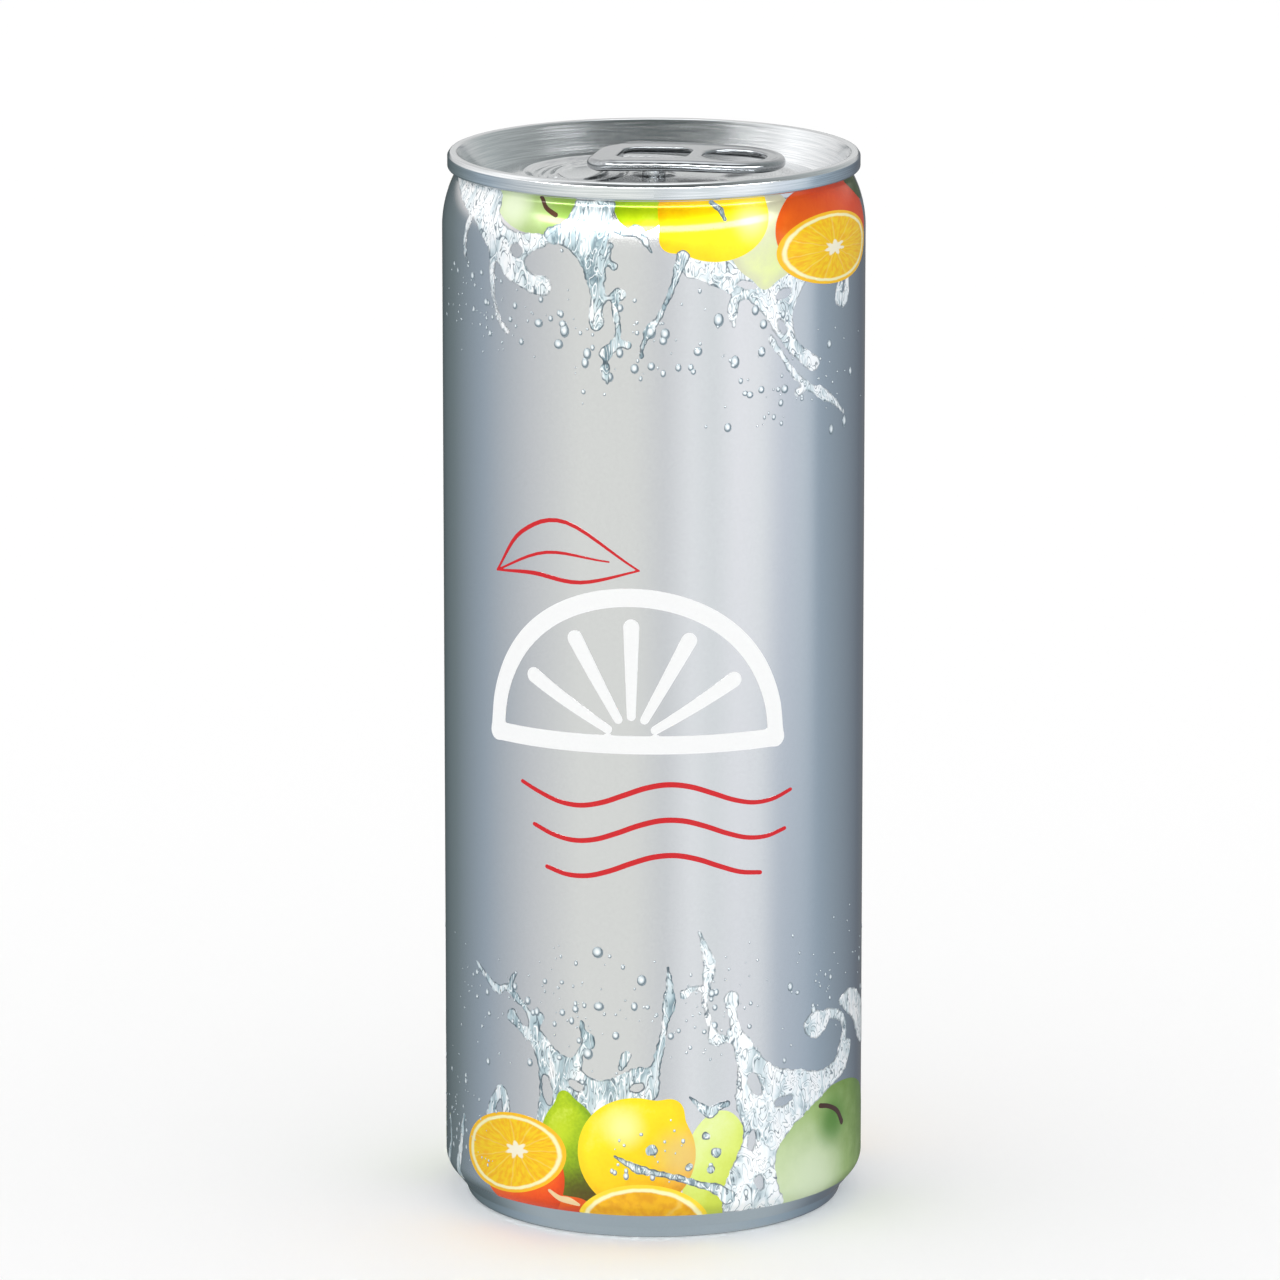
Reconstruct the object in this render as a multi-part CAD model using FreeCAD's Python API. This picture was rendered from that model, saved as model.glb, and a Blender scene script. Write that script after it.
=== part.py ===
"""A slim aluminium drinks can, shut and full: drawn body, seamed end and stay-on pull tab.

Millimetres. +Z is up and the origin is the middle of the circle that the can stands on.
The can's length runs along Z. The tab's nose points towards -X, turned a little about Z.
"""

import FreeCAD
import Part

import math
import os

from FreeCAD import Rotation, Vector

# ---- body -------------------------------------------------------------------------------
BODY_RADIUS = 26.5          # straight printed wall
TOTAL_HEIGHT = 134.0        # standing circle to the top of the seam
FOOT_FLAT = 0.5             # width of the flat ring that touches the table
FOOT_RADIUS = 22.9          # middle of that ring
FOOT_ROUND = 0.75           # rounding of the standing bead
FOOT_WALL_LEAN = 0.75       # how far the bead's inner wall leans in over its height
DOME_EDGE_HEIGHT = 3.2      # where the bead's inner wall meets the dome
DOME_HEIGHT = 9.6           # top of the dome over the table
DOME_EDGE_ROUND = 1.2
BEAD_OUTER_HEIGHT = 1.5     # crease between the standing bead and the chime
BEAD_OUTER_STEP = 0.55      # how far the crease lies outside the bead's foot
CHIME_ANGLE = 51.0          # slope of the chime's cone over the table, degrees
CHIME_ROUND = 3.0           # rounding from the cone into the wall

# ---- neck and seam ----------------------------------------------------------------------
SEAM_RADIUS = 25.75         # outside of the rolled seam
SEAM_HEIGHT = 2.2
SEAM_THICKNESS = 1.15       # seam's wall at its top
SEAM_TOP_ROUND = 0.55
SEAM_FOOT_ROUND = 0.45
NECK_RADIUS = 24.85         # straight neck just under the seam
NECK_HEIGHT = 0.7           # length of that straight neck
NECK_SLOPE = 27.0           # steepest lean of the shoulder off the vertical, degrees
SHOULDER_SHARE = 0.92       # share of that slope taken by the rounding of the shoulder
NECK_SHARE = 0.06           # and by the hollow rounding into the neck

# ---- end, or lid ------------------------------------------------------------------------
SHEET = 0.25                # sheet that the end and the tab are pressed from
PANEL_DEPTH = 2.8           # middle of the panel under the seam's top
PANEL_RADIUS = 21.3         # outer edge of the panel
PANEL_BORDER = 3.7          # sloping border round the panel's flat middle
PANEL_FALL = 0.85           # how far the panel falls over that border
PANEL_BEND = 12.0
COUNTERSINK_DEPTH = 6.1     # bottom of the groove under the seam's top
COUNTERSINK_WIDTH = 0.9
COUNTERSINK_LEAN = 0.2      # lean of the groove's inner wall
COUNTERSINK_ROUND = 0.42
PANEL_EDGE_ROUND = 0.6
CHUCK_WALL_TOP_DEPTH = 1.4  # where the sloping wall turns up into the seam
CHUCK_WALL_TOP_STEP = 0.15  # how far that turn lies inside the seam's inner wall
CHUCK_WALL_ROUND = 1.5

# ---- pressed panel features, in the tab's own frame --------------------------------------
TAB_TURN = -10.6            # turn of the tab and the mouth about Z, degrees
RECESS_DEPTH = 0.3          # keyhole-shaped recess round the mouth and the tab
RECESS_MOUTH_RADIUS = 12.5
RECESS_MOUTH_INSET = 1.9    # recess's edge inside the panel's flat, at the mouth
RECESS_HEEL_RADIUS = 7.6
RECESS_HEEL_OUTSET = 0.2    # recess's edge outside the flat, at the heel
MOUTH_EDGE_GAP = 1.6        # from the recess's edge to the tear panel's score
MOUTH_RIVET_GAP = 0.4       # from the rivet's boss to the score
MOUTH_WIDTH = 17.6          # across the tab
SCORE_WIDTH = 0.3
SCORE_DEPTH = 0.12
MOUTH_BEAD_INSET = 2.1      # from the score to the middle of the stiffening bead
MOUTH_BEAD_WIDTH = 0.9
MOUTH_BEAD_HEIGHT = 0.22
BUMP_RADIUS = 0.8
BUMP_HEIGHT = 0.32
BUMP_SPREAD = 5.2           # each side of the tab's middle line
BUMP_INSET = 2.5            # from the score's far end, along the tab

# ---- rivet ------------------------------------------------------------------------------
RIVET_BOSS_RADIUS = 3.3
RIVET_BOSS_HEIGHT = 0.95    # over the recess's floor
RIVET_SHANK_RADIUS = 1.55
RIVET_HEAD_RADIUS = 2.35
RIVET_HEAD_HEIGHT = 0.4
RIVET_HEAD_ROUND = 0.18

# ---- pull tab ---------------------------------------------------------------------------
TAB_NOSE_REACH = 7.9        # from the rivet to the nose's tip
TAB_HEEL_REACH = 16.6       # from the rivet to the heel's tip
TAB_WIDTH = 15.6
TAB_HEEL_WIDTH = 14.2
TAB_NOSE_ROUND = 5.0
TAB_CURL_HEIGHT = 1.25      # height of the curled edge
TAB_CURL_WIDTH = 1.5
TAB_CURL_ROUND = 0.5
TAB_TOP_GAP = 0.1           # top of the tab under the top of the seam
ISLAND_LENGTH = 8.6         # sunk tongue that the rivet holds, with the slot round it
ISLAND_WIDTH = 8.0
ISLAND_BACK = 4.3           # from the rivet to the slot's nose side
ISLAND_SLOT = 0.7
FINGER_HOLE_START = 6.1     # from the rivet
FINGER_HOLE_LENGTH = 8.4
FINGER_HOLE_WIDTH = 9.0
TAB_DIMPLE_RADIUS = 0.9
TAB_DIMPLE_DEPTH = 0.12
TAB_DIMPLE_REACH = 5.1
TAB_DIMPLE_SPREAD = 5.55

# ---- places worked out from the sizes above ----------------------------------------------
SEAM_FOOT_Z = TOTAL_HEIGHT - SEAM_HEIGHT
SEAM_INNER_RADIUS = SEAM_RADIUS - SEAM_THICKNESS
PANEL_Z = TOTAL_HEIGHT - PANEL_DEPTH
RECESS_Z = PANEL_Z - RECESS_DEPTH
TAB_TOP_Z = TOTAL_HEIGHT - TAB_TOP_GAP
TAB_FOOT_Z = TAB_TOP_Z - TAB_CURL_HEIGHT
BOSS_TOP_Z = RECESS_Z + RIVET_BOSS_HEIGHT
PANEL_FLAT_RADIUS = PANEL_RADIUS - PANEL_BORDER
RECESS_MOUTH_REACH = PANEL_FLAT_RADIUS - RECESS_MOUTH_INSET
RECESS_HEEL_REACH = PANEL_FLAT_RADIUS + RECESS_HEEL_OUTSET
MOUTH_END = RECESS_MOUTH_REACH - MOUTH_EDGE_GAP
MOUTH_START = RIVET_BOSS_RADIUS + MOUTH_RIVET_GAP
MOUTH_LENGTH = MOUTH_END - MOUTH_START
MOUTH_CENTRE = (MOUTH_END + MOUTH_START) / 2
AXIS_START, AXIS_UP = Vector(0, 0, 0), Vector(0, 0, 1)


def section_point(radius, height):
    """A point of a turned section: radius along X, height along Z."""
    return Vector(radius, 0, height)


def corner_arc(before, corner, after, radius):
    """The tangent points and the middle of the arc that rounds one corner of a section."""
    inward = (before - corner).normalize()
    outward = (after - corner).normalize()
    half = inward.getAngle(outward) / 2
    reach = radius / math.tan(half)
    middle = (inward + outward).normalize()
    centre = corner + middle * (radius / math.sin(half))
    return corner + inward * reach, centre - middle * radius, corner + outward * reach


def rounded_path(corners):
    """Edges through (radius, height, rounding) corners, each turned into a tangent arc."""
    points = [section_point(r, z) for r, z, _ in corners]
    edges = []
    start = points[0]
    for i in range(1, len(points) - 1):
        rounding = corners[i][2]
        if rounding:
            a, m, b = corner_arc(points[i - 1], points[i], points[i + 1], rounding)
            edges.append(Part.makeLine(start, a))
            edges.append(Part.Arc(a, m, b).toShape())
            start = b
        else:
            edges.append(Part.makeLine(start, points[i]))
            start = points[i]
    edges.append(Part.makeLine(start, points[-1]))
    return edges


def turned(edges):
    """The solid that a closed half section makes when it is turned about Z."""
    face = Part.Face(Part.Wire(Part.__sortEdges__(edges)))
    solid = face.revolve(AXIS_START, AXIS_UP, 360)
    return solid if solid.Volume > 0 else solid.reversed()


def shifted_corner(before, corner, after, distance):
    """The corner of a path moved sideways by a distance, towards the path's right."""
    def side(a, b):
        length = math.hypot(b[0] - a[0], b[1] - a[1])
        return (b[1] - a[1]) / length, -(b[0] - a[0]) / length

    n1, n2 = side(before, corner), side(corner, after)
    scale = distance / (1 + n1[0] * n2[0] + n1[1] * n2[1])
    return corner[0] + (n1[0] + n2[0]) * scale, corner[1] + (n1[1] + n2[1]) * scale


def chuck_wall_radius(z):
    """Inner radius of the sloping chuck wall at a height, on its straight line."""
    foot_z = TOTAL_HEIGHT - COUNTERSINK_DEPTH
    top_z = TOTAL_HEIGHT - CHUCK_WALL_TOP_DEPTH
    foot = PANEL_RADIUS + COUNTERSINK_LEAN + COUNTERSINK_WIDTH
    top = SEAM_INNER_RADIUS - CHUCK_WALL_TOP_STEP
    return foot + (top - foot) * (z - foot_z) / (top_z - foot_z)


def end_top_corners():
    """The end's upper face from its middle out to the chuck wall's top."""
    groove_z = TOTAL_HEIGHT - COUNTERSINK_DEPTH
    wall_top_z = TOTAL_HEIGHT - CHUCK_WALL_TOP_DEPTH
    groove_in = PANEL_RADIUS + COUNTERSINK_LEAN
    return [
        (0.0, PANEL_Z, 0.0),
        (PANEL_FLAT_RADIUS, PANEL_Z, PANEL_BEND),
        (PANEL_RADIUS, PANEL_Z - PANEL_FALL, PANEL_EDGE_ROUND),
        (groove_in, groove_z, COUNTERSINK_ROUND),
        (groove_in + COUNTERSINK_WIDTH, groove_z, COUNTERSINK_ROUND),
        (chuck_wall_radius(wall_top_z), wall_top_z, CHUCK_WALL_ROUND),
        (SEAM_INNER_RADIUS, TOTAL_HEIGHT, SEAM_TOP_ROUND),
    ]


def end_under_corners():
    """The end's lower face, one sheet under the upper one, out to the seam's foot."""
    top = end_top_corners()
    under = [(0.0, PANEL_Z - SHEET, 0.0)]
    for i in range(1, 5):
        r, z = shifted_corner(top[i - 1], top[i], top[i + 1], SHEET)
        hollow = i in (3, 4)
        rounding = top[i][2] + SHEET if hollow else max(top[i][2] - SHEET, SHEET)
        under.append((r, z, rounding))
    lean = math.atan2(top[5][0] - top[4][0], top[5][1] - top[4][1])
    under.append((chuck_wall_radius(SEAM_FOOT_Z) + SHEET / math.cos(lean), SEAM_FOOT_Z, 0.0))
    return under


def end_shell():
    """The pressed end with its seam, before the panel's features."""
    under = end_under_corners()
    top = end_top_corners()
    seam = [
        (SEAM_RADIUS, TOTAL_HEIGHT, SEAM_TOP_ROUND),
        (SEAM_RADIUS, SEAM_FOOT_Z, SEAM_FOOT_ROUND),
        (under[-1][0], SEAM_FOOT_Z, 0.0),
    ]
    axis = Part.makeLine(section_point(0, PANEL_Z - SHEET), section_point(0, PANEL_Z))
    return turned(rounded_path(top + seam) + rounded_path(under) + [axis])


def plan_face(edges, z):
    """A flat face at height z from edges drawn at height 0."""
    face = Part.Face(Part.Wire(Part.__sortEdges__(edges)))
    return face.translated(Vector(0, 0, z))


def plate(edges, z, thickness):
    """A flat plate whose lower face is at z."""
    return plan_face(edges, z).extrude(Vector(0, 0, thickness))


def recess_outline(grow=0.0):
    """Keyhole outline of the panel's recess: a large arc round the mouth, a small one at the heel."""
    big = RECESS_MOUTH_RADIUS + grow
    small = RECESS_HEEL_RADIUS + grow
    big_x = RECESS_MOUTH_RADIUS - RECESS_MOUTH_REACH
    small_x = RECESS_HEEL_REACH - RECESS_HEEL_RADIUS
    slope = math.acos((big - small) / (small_x - big_x))
    cos_s, sin_s = math.cos(slope), math.sin(slope)
    upper_big = Vector(big_x + big * cos_s, big * sin_s, 0)
    upper_small = Vector(small_x + small * cos_s, small * sin_s, 0)
    lower_big = Vector(upper_big.x, -upper_big.y, 0)
    lower_small = Vector(upper_small.x, -upper_small.y, 0)
    return [
        Part.Arc(upper_big, Vector(big_x - big, 0, 0), lower_big).toShape(),
        Part.makeLine(lower_big, lower_small),
        Part.Arc(lower_small, Vector(small_x + small, 0, 0), upper_small).toShape(),
        Part.makeLine(upper_small, upper_big),
    ]


def oval(centre_x, length, width):
    """An ellipse in plan, length along X and width along Y."""
    centre = Vector(centre_x, 0, 0)
    long_side, short_side = max(length, width) / 2, min(length, width) / 2
    curve = Part.Ellipse(centre, long_side, short_side)
    if width > length:
        curve.rotate(FreeCAD.Placement(centre, Rotation(AXIS_UP, 90), Vector(0, 0, 0)))
    return [curve.toShape()]


def stadium(start_x, length, width):
    """A slot outline along X with rounded ends of half its smaller side."""
    r = min(length, width) / 2
    x0, x1 = start_x + r, start_x + length - r
    y = width / 2
    if x1 - x0 < 1e-6:
        x0 = x1 = start_x + length / 2
    rise = y - r
    edges = []
    corners = [(x1, rise, 0), (x0, rise, 90), (x0, -rise, 180), (x1, -rise, 270)]
    ends = []
    for cx, cy, a0 in corners:
        angles = [math.radians(a0 + step) for step in (0, 45, 90)]
        arc = [Vector(cx + r * math.cos(t), cy + r * math.sin(t), 0) for t in angles]
        edges.append(Part.Arc(*arc).toShape())
        ends.append((arc[0], arc[2]))
    for i in range(4):
        a, b = ends[i][1], ends[(i + 1) % 4][0]
        if (b - a).Length > 1e-6:
            edges.append(Part.makeLine(a, b))
    return edges


def ring(outer, inner, z, thickness):
    """A flat ring between two outlines."""
    return plate(outer, z, thickness).cut(plate(inner, z - thickness, 3 * thickness))


def mouth_bead():
    """The raised stiffening bead in the tear panel, open towards the rivet."""
    length = MOUTH_LENGTH - 2 * MOUTH_BEAD_INSET
    width = MOUTH_WIDTH - 2 * MOUTH_BEAD_INSET
    half = MOUTH_BEAD_WIDTH / 2
    outer = oval(-MOUTH_CENTRE, length + 2 * half, width + 2 * half)
    inner = oval(-MOUTH_CENTRE, length - 2 * half, width - 2 * half)
    bead = ring(outer, inner, RECESS_Z, MOUTH_BEAD_HEIGHT)
    opening = Part.makeBox(
        MOUTH_LENGTH, MOUTH_WIDTH, 2 * MOUTH_BEAD_HEIGHT,
        Vector(-MOUTH_CENTRE + length / 4, -MOUTH_WIDTH / 2, RECESS_Z - MOUTH_BEAD_HEIGHT / 2),
    )
    return bead.cut(opening)


def bumps():
    """Two low round bumps on the tear panel."""
    found = []
    sphere_radius = (BUMP_RADIUS**2 + BUMP_HEIGHT**2) / (2 * BUMP_HEIGHT)
    for side in (-1, 1):
        x, y = BUMP_INSET - MOUTH_END, side * BUMP_SPREAD
        ball = Part.makeSphere(sphere_radius, Vector(x, y, RECESS_Z + BUMP_HEIGHT - sphere_radius))
        above = Part.makeBox(
            4 * BUMP_RADIUS, 4 * BUMP_RADIUS, 2 * BUMP_HEIGHT,
            Vector(x - 2 * BUMP_RADIUS, y - 2 * BUMP_RADIUS, RECESS_Z - SHEET / 2),
        )
        found.append(ball.common(above))
    return found


def rivet():
    """The button formed from the panel: boss, shank through the tab and spread head."""
    island_top = BOSS_TOP_Z + SHEET
    boss = Part.makeCone(
        RIVET_BOSS_RADIUS, RIVET_HEAD_RADIUS, RIVET_BOSS_HEIGHT, Vector(0, 0, RECESS_Z)
    )
    shank = Part.makeCylinder(RIVET_SHANK_RADIUS, 2 * SHEET, Vector(0, 0, BOSS_TOP_Z - SHEET / 2))
    head = Part.makeCylinder(RIVET_HEAD_RADIUS, RIVET_HEAD_HEIGHT, Vector(0, 0, island_top))
    top_edge = [e for e in head.Edges if e.BoundBox.ZMin > island_top + RIVET_HEAD_HEIGHT / 2]
    head = head.makeFillet(RIVET_HEAD_ROUND, top_edge[:1])
    return boss.fuse([shank, head])


def turn_with_tab(shape):
    """Turns a shape from the tab's frame into the can's."""
    return shape.rotated(AXIS_START, AXIS_UP, TAB_TURN)


def recess_pan():
    """All that the recess's sheet takes from the drink under it, open at the top."""
    return turn_with_tab(plate(recess_outline(SHEET), RECESS_Z - SHEET, PANEL_DEPTH))


def make_end():
    """The can's end: seam, chuck wall, countersink and panel with all that is pressed into it."""
    shell = end_shell()
    pan = plate(recess_outline(SHEET), RECESS_Z - SHEET, RECESS_DEPTH)
    score = ring(
        oval(-MOUTH_CENTRE, MOUTH_LENGTH + SCORE_WIDTH, MOUTH_WIDTH + SCORE_WIDTH),
        oval(-MOUTH_CENTRE, MOUTH_LENGTH - SCORE_WIDTH, MOUTH_WIDTH - SCORE_WIDTH),
        RECESS_Z - SCORE_DEPTH, 2 * SCORE_DEPTH,
    )
    well = plate(recess_outline(), RECESS_Z, 2 * RECESS_DEPTH)
    end = shell.fuse(turn_with_tab(pan)).cut(turn_with_tab(well)).cut(turn_with_tab(score))
    raised = [turn_with_tab(s) for s in (mouth_bead(), rivet(), *bumps())]
    return end.fuse(raised).removeSplitter()


def body_wall_corners():
    """The body's outside from the foot's flat ring up to the seam."""
    foot_out = FOOT_RADIUS + FOOT_FLAT / 2
    crease = foot_out + FOOT_ROUND * 0.6 + BEAD_OUTER_STEP
    rise = (BODY_RADIUS - crease) * math.tan(math.radians(CHIME_ANGLE))
    neck_foot_z = SEAM_FOOT_Z - NECK_HEIGHT
    slope = math.radians(NECK_SLOPE)
    shoulder = (BODY_RADIUS - NECK_RADIUS) / math.tan(slope)
    round_scale = (BODY_RADIUS - NECK_RADIUS) / math.sin(slope) / math.tan(slope / 2)
    return [
        (FOOT_RADIUS, 0.0, 0.0),
        (foot_out + FOOT_ROUND * 0.6, 0.0, FOOT_ROUND),
        (crease, BEAD_OUTER_HEIGHT, 0.5),
        (BODY_RADIUS, BEAD_OUTER_HEIGHT + rise, CHIME_ROUND),
        (BODY_RADIUS, neck_foot_z - shoulder, SHOULDER_SHARE * round_scale),
        (NECK_RADIUS, neck_foot_z, NECK_SHARE * round_scale),
        (NECK_RADIUS, SEAM_FOOT_Z, 0.0),
        (end_under_corners()[-1][0], SEAM_FOOT_Z, 0.0),
    ]


def base_edges():
    """The underside from the middle of the dome to the foot's flat ring."""
    foot_in = FOOT_RADIUS - FOOT_FLAT / 2 - FOOT_ROUND * 0.6
    dome_edge = foot_in - FOOT_WALL_LEAN
    sag = DOME_HEIGHT - DOME_EDGE_HEIGHT
    dome_radius = (dome_edge**2 + sag**2) / (2 * sag)
    half_angle = math.asin(dome_edge / dome_radius) / 2
    middle = section_point(
        dome_radius * math.sin(half_angle),
        DOME_HEIGHT - dome_radius * (1 - math.cos(half_angle)),
    )
    dome = Part.Arc(
        section_point(0, DOME_HEIGHT), middle, section_point(dome_edge, DOME_EDGE_HEIGHT)
    ).toShape()
    wall = rounded_path([
        (dome_edge, DOME_EDGE_HEIGHT, 0.0),
        (foot_in, 0.0, FOOT_ROUND),
        (FOOT_RADIUS, 0.0, 0.0),
    ])
    return [dome] + wall


def make_body():
    """The drawn and necked body, solid with its drink, up to the underside of the end."""
    axis = Part.makeLine(section_point(0, PANEL_Z - SHEET), section_point(0, DOME_HEIGHT))
    under = rounded_path(end_under_corners())
    full = turned(base_edges() + rounded_path(body_wall_corners()) + under + [axis])
    rim = [
        e for e in full.Edges
        if abs(e.BoundBox.ZMin - DOME_EDGE_HEIGHT) < 1e-4 and e.BoundBox.ZLength < 1e-3
    ]
    full = full.makeFillet(DOME_EDGE_ROUND, rim)
    return full.cut(recess_pan()).removeSplitter()


def tab_outline(inset=0.0):
    """The tab's outline: blunt rounded nose, straight sides that taper, half-round heel."""
    nose = -TAB_NOSE_REACH + inset
    side = TAB_WIDTH / 2 - inset
    heel_radius = TAB_HEEL_WIDTH / 2 - inset
    heel_centre = TAB_HEEL_REACH - inset - heel_radius
    corner = TAB_NOSE_ROUND - inset
    lean = math.atan2(side - heel_radius, heel_centre - (nose + corner))
    heel_top = Vector(
        heel_centre + heel_radius * math.sin(lean), heel_radius * math.cos(lean), 0
    )
    corner_centre = Vector(nose + corner, side - corner, 0)
    corner_top = corner_centre + Vector(corner * math.sin(lean), corner * math.cos(lean), 0)
    mid_angle = math.radians(135) - lean / 2
    corner_mid = corner_centre + Vector(corner * math.cos(mid_angle), corner * math.sin(mid_angle), 0)
    corner_end = corner_centre + Vector(-corner, 0, 0)

    def mirrored(p):
        return Vector(p.x, -p.y, 0)

    return [
        Part.Arc(heel_top, Vector(heel_centre + heel_radius, 0, 0), mirrored(heel_top)).toShape(),
        Part.makeLine(mirrored(heel_top), mirrored(corner_top)),
        Part.Arc(mirrored(corner_top), mirrored(corner_mid), mirrored(corner_end)).toShape(),
        Part.makeLine(mirrored(corner_end), corner_end),
        Part.Arc(corner_end, corner_mid, corner_top).toShape(),
        Part.makeLine(corner_top, heel_top),
    ]


def tab_blank():
    """Top sheet and curled edge of the tab, with the edge rounded."""
    blank = plate(tab_outline(), TAB_FOOT_Z, TAB_CURL_HEIGHT)
    rims = [
        e for e in blank.Edges
        if e.BoundBox.ZLength < 1e-3
    ]
    blank = blank.makeFillet(TAB_CURL_ROUND, rims)
    hollow = plate(tab_outline(TAB_CURL_WIDTH), TAB_FOOT_Z - SHEET, TAB_CURL_HEIGHT)
    return blank.cut(hollow)


def finger_hole_collar(height_below, grow):
    """The finger hole's outline as a plug, a little larger by grow."""
    edges = stadium(
        FINGER_HOLE_START - grow, FINGER_HOLE_LENGTH + 2 * grow, FINGER_HOLE_WIDTH + 2 * grow
    )
    return plate(edges, TAB_TOP_Z - height_below, height_below)


def island():
    """The sunk tongue that the rivet clamps, joined to the tab at its nose side."""
    start = -ISLAND_BACK
    length = ISLAND_LENGTH - ISLAND_SLOT
    width = ISLAND_WIDTH - 2 * ISLAND_SLOT
    tongue = plate(stadium(start, length, width), BOSS_TOP_Z, SHEET)
    foot = Part.makeBox(
        width / 2, width, SHEET, Vector(start, -width / 2, BOSS_TOP_Z)
    )
    riser = Part.makeBox(
        2 * SHEET, width, TAB_TOP_Z - BOSS_TOP_Z, Vector(start - SHEET, -width / 2, BOSS_TOP_Z)
    )
    tongue = tongue.fuse([foot, riser])
    hole = Part.makeCylinder(RIVET_SHANK_RADIUS, 4 * SHEET, Vector(0, 0, BOSS_TOP_Z - 2 * SHEET))
    return tongue.cut(hole)


def tab_dimples():
    """Two shallow round dimples beside the finger hole's front edge."""
    sphere_radius = (TAB_DIMPLE_RADIUS**2 + TAB_DIMPLE_DEPTH**2) / (2 * TAB_DIMPLE_DEPTH)
    z = TAB_TOP_Z - TAB_DIMPLE_DEPTH + sphere_radius
    return [
        Part.makeSphere(sphere_radius, Vector(TAB_DIMPLE_REACH, side * TAB_DIMPLE_SPREAD, z))
        for side in (-1, 1)
    ]


def make_tab():
    """The stay-on pull tab, lying flat on its rivet."""
    tab = tab_blank()
    collar = finger_hole_collar(TAB_CURL_HEIGHT - TAB_CURL_ROUND, TAB_CURL_WIDTH / 2)
    hole = finger_hole_collar(2 * TAB_CURL_HEIGHT, 0).translated(Vector(0, 0, TAB_CURL_ROUND))
    window = plate(
        stadium(-ISLAND_BACK, ISLAND_LENGTH, ISLAND_WIDTH), TAB_FOOT_Z - SHEET, 2 * TAB_CURL_HEIGHT
    )
    tab = tab.fuse(collar).cut(hole).cut(window).fuse(island()).cut(tab_dimples())
    return turn_with_tab(tab.removeSplitter())


def export(shape, node):
    """Writes one sub-part, checked to be one closed solid."""
    solids = shape.Solids
    if len(solids) != 1 or not solids[0].isValid() or solids[0].Volume <= 0:
        raise ValueError(f"{node} isn't one valid solid: {len(solids)} solids")
    solids[0].exportStep(f"parts/{node}.step")
    print(f"{node}: {solids[0].Volume:.1f} mm3, {len(solids[0].Faces)} faces")


def main():
    """Builds the three pieces and writes them."""
    os.makedirs("parts", exist_ok=True)
    export(make_body(), "can_body")
    export(make_end(), "can_end")
    export(make_tab(), "pull_tab")


main()
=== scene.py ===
"""A slim drinks can, shut and full: printed body, rolled aluminium end and stay-on pull tab.

Lengths are millimetres until a mesh is made, and metres from then on. +Z is up, the can stands on
z = 0 and the shown side of its print faces -Y.
"""

import logging
import math
from collections.abc import Sequence
from dataclasses import dataclass, field
from enum import Enum

import bpy
import numpy as np
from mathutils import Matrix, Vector


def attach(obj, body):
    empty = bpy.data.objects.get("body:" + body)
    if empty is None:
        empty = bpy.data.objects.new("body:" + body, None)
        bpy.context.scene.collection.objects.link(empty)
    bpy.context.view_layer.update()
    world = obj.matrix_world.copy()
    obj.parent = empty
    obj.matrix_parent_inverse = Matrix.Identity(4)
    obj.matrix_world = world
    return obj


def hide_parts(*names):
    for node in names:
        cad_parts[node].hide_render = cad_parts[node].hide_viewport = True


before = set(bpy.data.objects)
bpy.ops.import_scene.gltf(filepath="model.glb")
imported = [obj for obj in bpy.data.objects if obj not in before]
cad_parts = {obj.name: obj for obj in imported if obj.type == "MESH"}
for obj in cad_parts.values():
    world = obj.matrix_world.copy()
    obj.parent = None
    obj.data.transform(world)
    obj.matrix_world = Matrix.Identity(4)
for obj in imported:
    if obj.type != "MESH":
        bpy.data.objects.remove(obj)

log = logging.getLogger("drink_can")
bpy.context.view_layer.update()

MM = 0.001
BODY_RADIUS = 26.5
TOTAL_HEIGHT = 134.0
FOOT_RADIUS = 22.9          # middle of the ring that it stands on
SEAM_FOOT_Z = 131.8
SKIN_INSET = 0.07           # the drawn wall lies this far inside the overall size, under the ink
PRINT_EDGE_Z = 3.4          # the print ends here, above the bare chime
TAB_TURN = math.radians(-10.6)

Point = tuple[float, float]
Triple = tuple[float, float, float]
Quad = tuple[float, float, float, float]
Faces = list[tuple[int, ...]]
Tree = bpy.types.NodeTree
Node = bpy.types.Node
Socket = bpy.types.NodeSocket


class Slot(Enum):
    """Material slots of the record."""

    BODY = "body_print"
    END = "end_metal"
    TAB = "tab_metal"


class Layer(Enum):
    """Order of the printed inks, as heights over the drawn wall in millimetres."""

    SPLASH_BEHIND = 0.008
    FAR_FRUIT = 0.014
    GAP = 0.020
    FRUIT = 0.026
    NEAR_FRUIT = 0.033
    SPLASH = 0.040
    DETAIL = 0.048


# ---- colours and nodes ---------------------------------------------------------------------


def linear(code: str) -> Quad:
    """Turns an sRGB hex colour into linear RGBA.

    Args:
        code: A colour such as "#C0C4C8".

    Returns:
        Linear red, green, blue and an alpha of 1.
    """
    parts = [int(code[i:i + 2], 16) / 255 for i in (1, 3, 5)]
    red, green, blue = (c / 12.92 if c <= 0.04045 else ((c + 0.055) / 1.055) ** 2.4 for c in parts)
    return red, green, blue, 1.0


MODES = {
    "Math": "operation", "VectorMath": "operation", "Mix": "data_type",
    "MapRange": "interpolation_type",
}


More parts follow.
